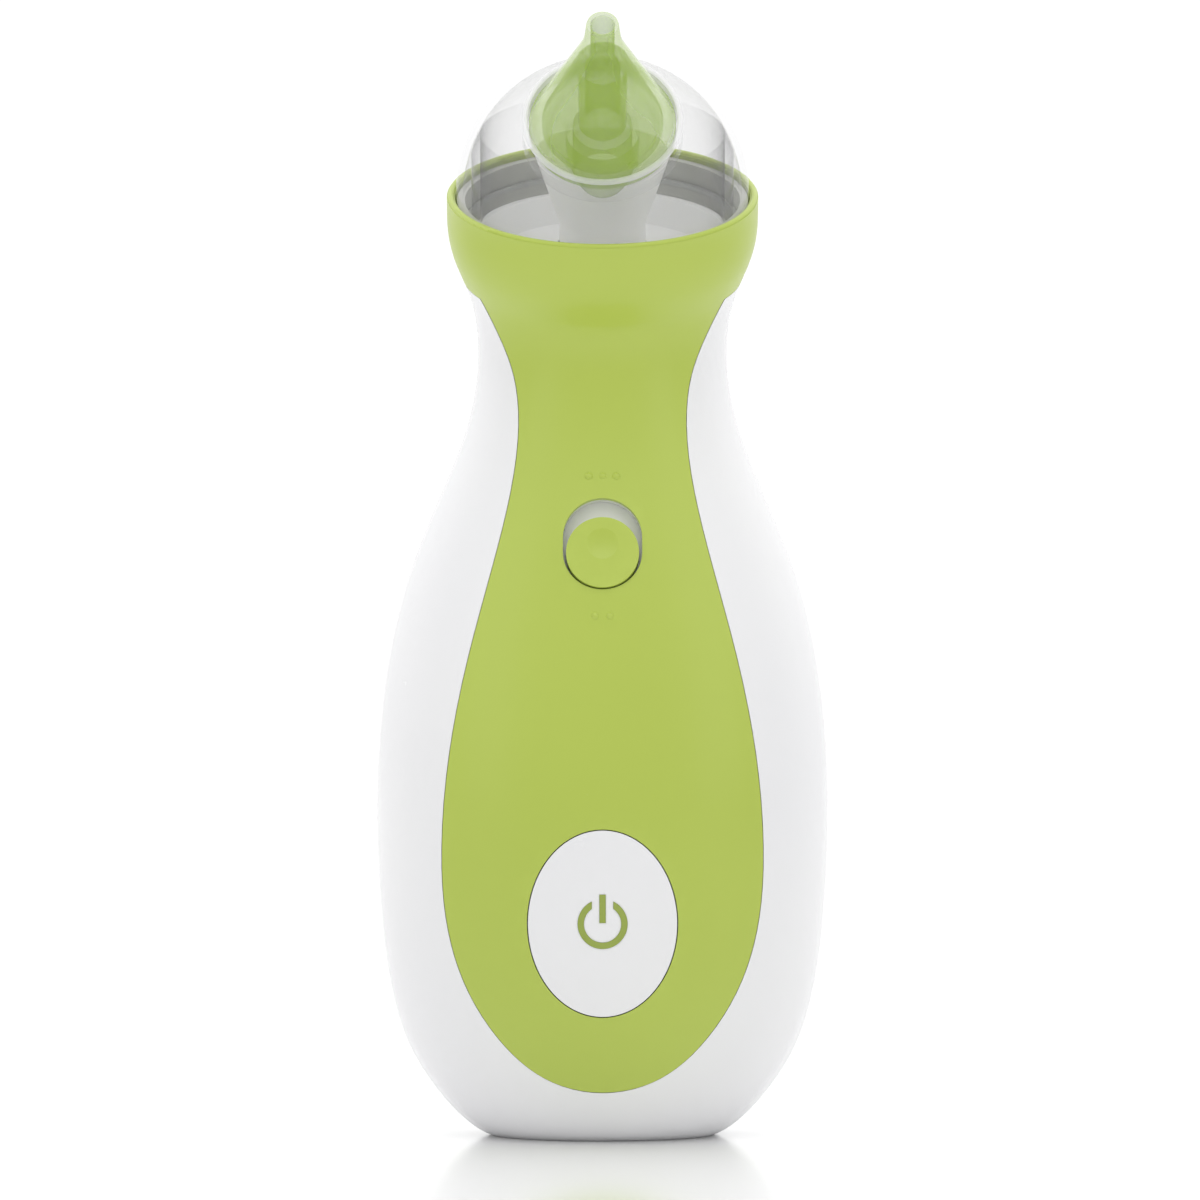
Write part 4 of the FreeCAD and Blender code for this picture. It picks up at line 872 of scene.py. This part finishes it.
class Maker:
    """What every sub-assembly shares: the frame, the materials and the way pieces are registered."""

    def __init__(self, frame: dict) -> None:
        """Makes the materials.
        """
        self.frame = frame
        self.effects = Effects()
        self.materials = {look: look.value.material(self.effects) for look in Look}
        self.slots = {row["node"]: row["material_slot"] for row in frame["record"]["subparts"]}

    def dress(self, node: str, look: Look) -> None:
        """Gives a CAD node its finish.

        Args:
            node: The node's name.
            look: The finish.
        """
        mesh = self.frame["nodes"][node].data
        mesh.materials.clear()
        mesh.materials.append(self.materials[look])
        LOG.info("dressed %s in %s", node, look.value.name)

    def finish(self, item: bpy.types.Object, look: Look, body: str, node: str) -> None:
        """Gives a new piece its finish and its body, and hides the CAD node that it stands for.

        Args:
            item: The piece.
            look: The finish.
            body: The CAD body it rides on.
            node: The CAD node it replaces.
        """
        item.data.materials.clear()
        item.data.materials.append(self.materials[look])
        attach(item, body)
        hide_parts(node)
        LOG.info("made %s: %d faces on %s", item.name, len(item.data.polygons), body)


@dataclass
class SubAssembly:
    """Pieces of the aspirator that belong together."""

    maker: Maker

    def looks(self) -> dict[Look, tuple[str, ...]]:
        """The CAD pieces that stay as they are, under the finish that each takes."""
        return {}

    def dress(self) -> None:
        """Gives those pieces their finishes."""
        for look, nodes in self.looks().items():
            for node in nodes:
                self.maker.dress(node, look)

    def build(self) -> None:
        """Makes the sub-assembly's own pieces, of which most sub-assemblies have none."""


@dataclass
class Shell(SubAssembly):
    """The white housing with its green panel, its battery door and the deck under the head."""

    def looks(self) -> dict[Look, tuple[str, ...]]:
        """White mouldings, a green panel, a grey-white deck and steel screws."""
        return {
            Look.WHITE: ("housing_left", "housing_right", "battery_door"),
            Look.GREEN: ("front_panel",),
            Look.INSERT: ("socket_deck",),
            Look.STEEL: ("door_screw", "housing_screws"),
        }


@dataclass
class Controls(SubAssembly):
    """The push button and the slide switch, each with what it works inside."""

    def looks(self) -> dict[Look, tuple[str, ...]]:
        """A white button with a green mark, and a green knob over a white plate."""
        return {
            Look.WHITE: ("power_button", "switch_bezel"),
            Look.GREEN: ("slider_knob",),
            Look.MARK: ("power_symbol",),
            Look.CHIP: ("tact_plunger", "switch_lever"),
            Look.BOARD: ("switch_board",),
            Look.STEEL: ("switch_body", "tact_switch"),
            Look.BRIGHT: ("button_spring",),
        }


@dataclass
class Electronics(SubAssembly):
    """The circuit board with its parts, and all the wiring."""

    def looks(self) -> dict[Look, tuple[str, ...]]:
        """A green board, black parts, steel screws and red wires."""
        return {
            Look.CHIP: ("board_parts",),
            Look.BOARD: ("circuit_board",),
            Look.STEEL: ("board_screws",),
            Look.WIRE: ("motor_wires", "battery_wires", "switch_wires"),
        }


@dataclass
class Battery(SubAssembly):
    """The tray with its cells and contacts."""

    pitch: float = 14.6
    middle: float = 1.5

    def looks(self) -> dict[Look, tuple[str, ...]]:
        """A dark tray, plated contacts and wrapped cells."""
        return {
            Look.CHASSIS: ("chassis",),
            Look.BRIGHT: ("contact_springs", "battery_contacts"),
            Look.WRAP_UP: ("cells",),
        }

    def dress(self) -> None:
        """Gives the pieces their finishes; every other cell stands upside down, with its band at the foot."""
        super().dress()
        mesh = self.maker.frame["nodes"]["cells"].data
        mesh.materials.append(self.maker.materials[Look.WRAP_DOWN])
        for face in mesh.polygons:
            if round(face.center.x / MM / self.pitch + self.middle) % 2:
                face.material_index = 1


@dataclass
class Drive(SubAssembly):
    """The motor and the crank that it turns."""

    def looks(self) -> dict[Look, tuple[str, ...]]:
        """A steel can over magnets and windings, and a plated shaft with a moulded crank."""
        return {
            Look.STEEL: ("motor_can",),
            Look.FERRITE: ("motor_magnets",),
            Look.COPPER: ("armature",),
            Look.BRIGHT: ("motor_shaft", "crank_bearing"),
            Look.INSERT: ("motor_end_cap", "eccentric", "connecting_rod"),
        }


@dataclass
class Pump(SubAssembly):
    """The diaphragm pump, its hoses and its muffler."""

    def looks(self) -> dict[Look, tuple[str, ...]]:
        """Black mouldings, a rubber diaphragm, silicone flaps, milky hoses and felt."""
        return {
            Look.PUMP: ("pump_case", "valve_plate", "pump_cover", "muffler"),
            Look.RUBBER: ("diaphragm",),
            Look.SILICONE: ("valve_flaps",),
            Look.HOSE: ("inlet_hose", "outlet_hose"),
            Look.FELT: ("muffler_felt",),
        }


@dataclass
class Head(SubAssembly):
    """The clear head: dome, separator, bowl and nose cone."""

    radius: float = 26.2
    wall: float = 1.3
    border: float = -0.8
    skirt_foot: float = -4.6
    lip_radius: float = 14.25
    seat_radius: float = 13.25
    stub_hole: float = 6.6
    pipe_back: float = 11.2

    def looks(self) -> dict[Look, tuple[str, ...]]:
        """A smoke-grey bowl with its seals and its filter."""
        return {
            Look.SMOKE: ("head_base",),
            Look.SILICONE: ("head_seal",),
            Look.RUBBER: ("port_seal",),
            Look.FELT: ("air_filter",),
        }

    def build(self) -> None:
        """Makes every piece of the head."""
        self.dome()
        self.sleeve()
        self.funnel()
        self.nose_cone()

    def dome(self) -> None:
        """Clear shell whose socket takes the cone, with a short skirt below it.

        The shell is spun about the cone's axis, so that the socket's ring is part of it, and cut off level.
        """
        inner = self.radius - self.wall
        lip, seat, hole, collar = self.lip_radius, self.seat_radius, self.stub_hole, 8.0
        shelf_top, shelf_foot, collar_foot, brim = 18.95, 16.9, 14.4, 22.65
        outside = arc(self.radius, -90.0, math.degrees(math.acos(lip / self.radius)), 74)
        inside = arc(inner, math.degrees(math.acos(lip / inner)), -90.0, 72)
        ring = [(lip, brim - 0.45), (lip - 0.12, brim - 0.15), (lip - 0.4, brim), (seat + 0.25, brim - 0.05),
                (seat, brim - 0.25), (seat, shelf_top), (hole, shelf_top), (hole, collar_foot),
                (collar, collar_foot), (collar, shelf_foot), (lip, shelf_foot)]
        shell = Bench.turned("clear_dome", [*outside, *ring, *inside], 160, NOSE)
        Bench.trim(shell, HEAD, self.border)
        bore, wide, shoulder = 23.65, 24.4, 25.6
        step, top, foot = self.border - 0.18, self.border - 0.05, self.skirt_foot
        skirt = Bench.turned("dome_skirt", [(bore, foot), (wide, foot), (wide, step), (shoulder, step),
                                            (shoulder, top), (bore, top)], ROUND, HEAD)
        Bench.join(shell, skirt)
        Bench.smooth(shell, 28.0)
        self.maker.finish(shell, Look.CLEAR, "dome", "head_dome")
        self.paint_lip_highlight(shell)

    def paint_lip_highlight(self, shell: bpy.types.Object) -> None:
        """Paints a highlight on the clear raised ring round the cone: its faces take a pale, half-clear white
        colour.

        Args:
            shell: The finished dome.
        """
        # The ring's upper faces get the painted highlight colour.
        shell.data.materials.append(self.maker.materials[Look.LIP])
        back = NOSE.inverted()
        for face in shell.data.polygons:
            near = back @ face.center
            away = math.hypot(near.x, near.y)
            if near.z > 19.0 * MM and (self.seat_radius - 0.1) * MM < away < (self.lip_radius + 0.02) * MM:
                face.material_index = 1

    def sleeve(self) -> None:
        """Clear wall round the collecting room."""
        outer, inner, reach, foot = 23.4, 21.8, 24.7, -6.2
        top_outer, top_inner = math.sqrt(reach ** 2 - outer ** 2), math.sqrt(reach ** 2 - inner ** 2)
        rim = arc(reach, at_height(reach, top_outer), at_height(reach, top_inner), 5)
        wall = Bench.turned("separator_wall", [(inner, foot), (outer, foot), *rim], ROUND, HEAD)
        notch = Bench.rod("wall_notch", self.lip_radius + 0.4, 16.6, 40.0, NOSE, ROUND)
        Bench.combine(wall, notch, "DIFFERENCE")
        Bench.smooth(wall, 28.0)
        self.maker.finish(wall, Look.SLEEVE, "separator", "separator_sleeve")

    def funnel(self) -> None:
        """Frosted floor with a hollow column that widens to a mouth."""
        foot, deck, edge = -13.35, -12.05, -7.35
        band, shell = 24.3, 23.2
        column, bore, bend, mouth = 7.7, 6.5, 4.5, 8.7
        outer = arc(band, at_height(band, foot), at_height(band, edge), 8)
        inner = arc(shell, at_height(shell, edge), at_height(shell, deck), 8)
        turns = [index * math.pi / 16 for index in range(8, -1, -1)]
        fillet = [(column + bend - bend * math.cos(t), deck + bend - bend * math.sin(t)) for t in turns]
        profile = [(0.0, foot), *outer, *inner, *fillet, (column, -5.35), (column + 0.3, -4.3),
                   (12.3, mouth - 0.3), (12.25, mouth - 0.1), (12.0, mouth), (11.6, mouth - 0.1), (7.2, -3.9),
                   (bore, -5.4), (bore, deck), (0.0, deck)]
        body = Bench.turned("separator_cone", profile, ROUND, HEAD)
        for name, radius, low, high, where in (
                ("stub_way", 7.0, 4.4, 34.0, NOSE), ("collar_way", 8.4, 13.8, 34.0, NOSE),
                ("pipe_way", 3.0, -16.0, -9.0, HEAD @ Matrix.Translation((0.0, self.pipe_back * MM, 0.0)))):
            Bench.combine(body, Bench.rod(name, radius, low, high, where), "DIFFERENCE")
        for turn in (0.0, 90.0, 180.0):
            self.drain(body, turn, deck)
        Bench.smooth(body, 30.0)
        self.maker.finish(body, Look.FROST, "separator", "separator_funnel")

    def drain(self, body: bpy.types.Object, turn: float, deck: float) -> None:
        """Cuts a window at the column's foot, where liquid runs out of it.

        Args:
            body: The funnel.
            turn: Where it lies round the column, in degrees.
            deck: Height of the floor's upper face.
        """
        wide, tall, reach = 5.2, 3.7, 12.0
        Bench.clear_selection()
        bpy.ops.mesh.primitive_cube_add(size=MM, location=(reach / 2.0 * MM, 0.0, (deck + tall / 2.0) * MM))
        window = Bench.current("drain_way")
        window.scale = (reach, wide, tall)
        Bench.settle(window)
        Bench.settle(window, HEAD @ Matrix.Rotation(math.radians(turn), 4, "Z"))
        Bench.combine(body, window, "DIFFERENCE")

    def nose_cone(self) -> None:
        """Green cone with a flange, a tapered tip, an inner tube and a stub."""
        length, tip = 22.4, 28.7
        tube, stub, plug = 3.1, 5.3, 6.5
        end = [(2.1, tip - 0.35), (2.25, tip - 0.1), (2.5, tip), (2.75, tip - 0.15), (2.9, tip - 0.6)]
        wall = [(3.25, length + 2.2), (3.7, length), (5.0, length - 3.3)]
        flange = [(12.45, 0.7), (12.65, 0.4), (12.9, 0.1), (13.05, -0.25), (13.05, -2.15), (12.8, -2.4)]
        foot = [(plug, -2.4), (plug, -15.9), (plug - 0.5, -16.4), (stub, -16.4), (stub, -1.0)]
        ridge = [(9.1, -1.0), (9.25, -0.55), (9.75, -0.55), (9.9, -1.0), (10.7, -1.0), (10.7, 0.6)]
        inside = [(4.75, length - 5.2), (4.3, length - 5.6), (4.3, 0.2), (tube, 0.2), (tube, length - 6.0),
                  (2.1, length - 3.5)]
        cone = Bench.turned("green_nose_cone", [*end, *wall, *flange, *foot, *ridge, *inside], 128, CONE)
        Bench.smooth(cone, 30.0)
        self.maker.finish(cone, Look.CONE, "cone", "nose_cone")


def main(frame: dict) -> None:
    """Dresses and builds every sub-assembly, then sets the studio up.
    """
    maker = Maker(frame)
    for kind in (Shell, Controls, Electronics, Battery, Drive, Pump, Head):
        part = kind(maker)
        part.dress()
        part.build()
    Studio().build()


@dataclass
class Studio:
    """Floor, soft lights and camera."""

    centre: float = 95.7
    picture_height: float = 214.67
    distance: float = 2000.0
    elevation: float = 1.6
    sensor: float = 36.0
    side_shift: float = 0.45
    surround: float = 0.52
    zenith: float = 0.6
    backdrop: float = 0.55

    def build(self) -> None:
        """Makes the floor, the lights and the camera."""
        self.floor()
        self.lights()
        self.camera()
        self.light_paths()

    def light_paths(self) -> None:
        """Lets light pass all the walls of the nested clear pieces."""
        cycles = bpy.context.scene.cycles
        cycles.transparent_max_bounces = 40
        cycles.transmission_bounces = 16
        cycles.max_bounces = 16

    def floor(self) -> None:
        """A pale sweep with a faint gloss."""
        Bench.clear_selection()
        bpy.ops.mesh.primitive_plane_add(size=8.0)
        floor = Bench.current("studio_floor")
        made = bpy.data.materials.new("pale_floor")
        made.use_nodes = True
        graph = Graph(made.node_tree)
        shader = made.node_tree.nodes["Principled BSDF"]
        grain = graph.noise(graph.place(), 900.0, 3.0)
        pale = graph.mix(grain, (0.92, 0.92, 0.92), (0.94, 0.94, 0.94))
        graph.tree.links.new(pale, shader.inputs["Base Color"])
        shader.inputs["Roughness"].default_value = 0.12
        floor.data.materials.append(made)

    def lights(self) -> None:
        """A bright surround, a large soft top light and two side lights."""
        world = bpy.data.worlds.new("studio_white")
        bpy.context.scene.world = world
        world.use_nodes = True
        background = world.node_tree.nodes["Background"]
        background.inputs["Color"].default_value = (1.0, 1.0, 1.0, 1.0)
        graph = Graph(world.node_tree)
        parts = graph.add("ShaderNodeSeparateXYZ", {0: graph.add("ShaderNodeTexCoord").outputs["Generated"]})
        above = graph.ramp(parts.outputs[2], 0.0, 1.0, 0.0, self.zenith)
        behind = graph.ramp(parts.outputs[1], 0.0, 0.5, 0.0, self.backdrop)
        graph.tree.links.new(graph.math("ADD", graph.math("ADD", above, behind), self.surround),
                             background.inputs["Strength"])
        target = Vector((0.0, 0.0, 0.1))
        for name, place, size, power in (
                ("top_light", (0.0, -0.5, 1.1), (0.9, 0.9), 2.0),
                ("left_light", (-0.9, -0.7, 0.5), (0.5, 0.9), 0.8),
                ("right_light", (0.9, -0.7, 0.5), (0.5, 0.9), 0.8)):
            data = bpy.data.lights.new(name, "AREA")
            data.shape = "RECTANGLE"
            data.size, data.size_y = size
            data.energy = power
            lamp = bpy.data.objects.new(name, data)
            bpy.context.scene.collection.objects.link(lamp)
            lamp.location = place
            lamp.rotation_euler = (target - Vector(place)).to_track_quat("-Z", "Y").to_euler()

    def camera(self) -> None:
        """A long lens, almost level, with the whole aspirator in the picture."""
        data = bpy.data.cameras.new("camera")
        data.sensor_width = self.sensor
        data.lens = self.sensor * self.distance / self.picture_height
        data.clip_start = 0.05
        data.clip_end = 30.0
        camera = bpy.data.objects.new("camera", data)
        bpy.context.scene.collection.objects.link(camera)
        rise = math.radians(self.elevation)
        aim = Vector((-self.side_shift * MM, 0.0, self.centre * MM))
        camera.location = aim + Vector((0.0, -math.cos(rise), math.sin(rise))) * self.distance * MM
        camera.rotation_euler = (aim - camera.location).to_track_quat("-Z", "Y").to_euler()
        bpy.context.scene.camera = camera
        bpy.context.scene.view_settings.view_transform = "Standard"


if __name__ == "__main__":
    logging.basicConfig(level=logging.INFO, format="%(message)s")
    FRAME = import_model()
    main(FRAME)
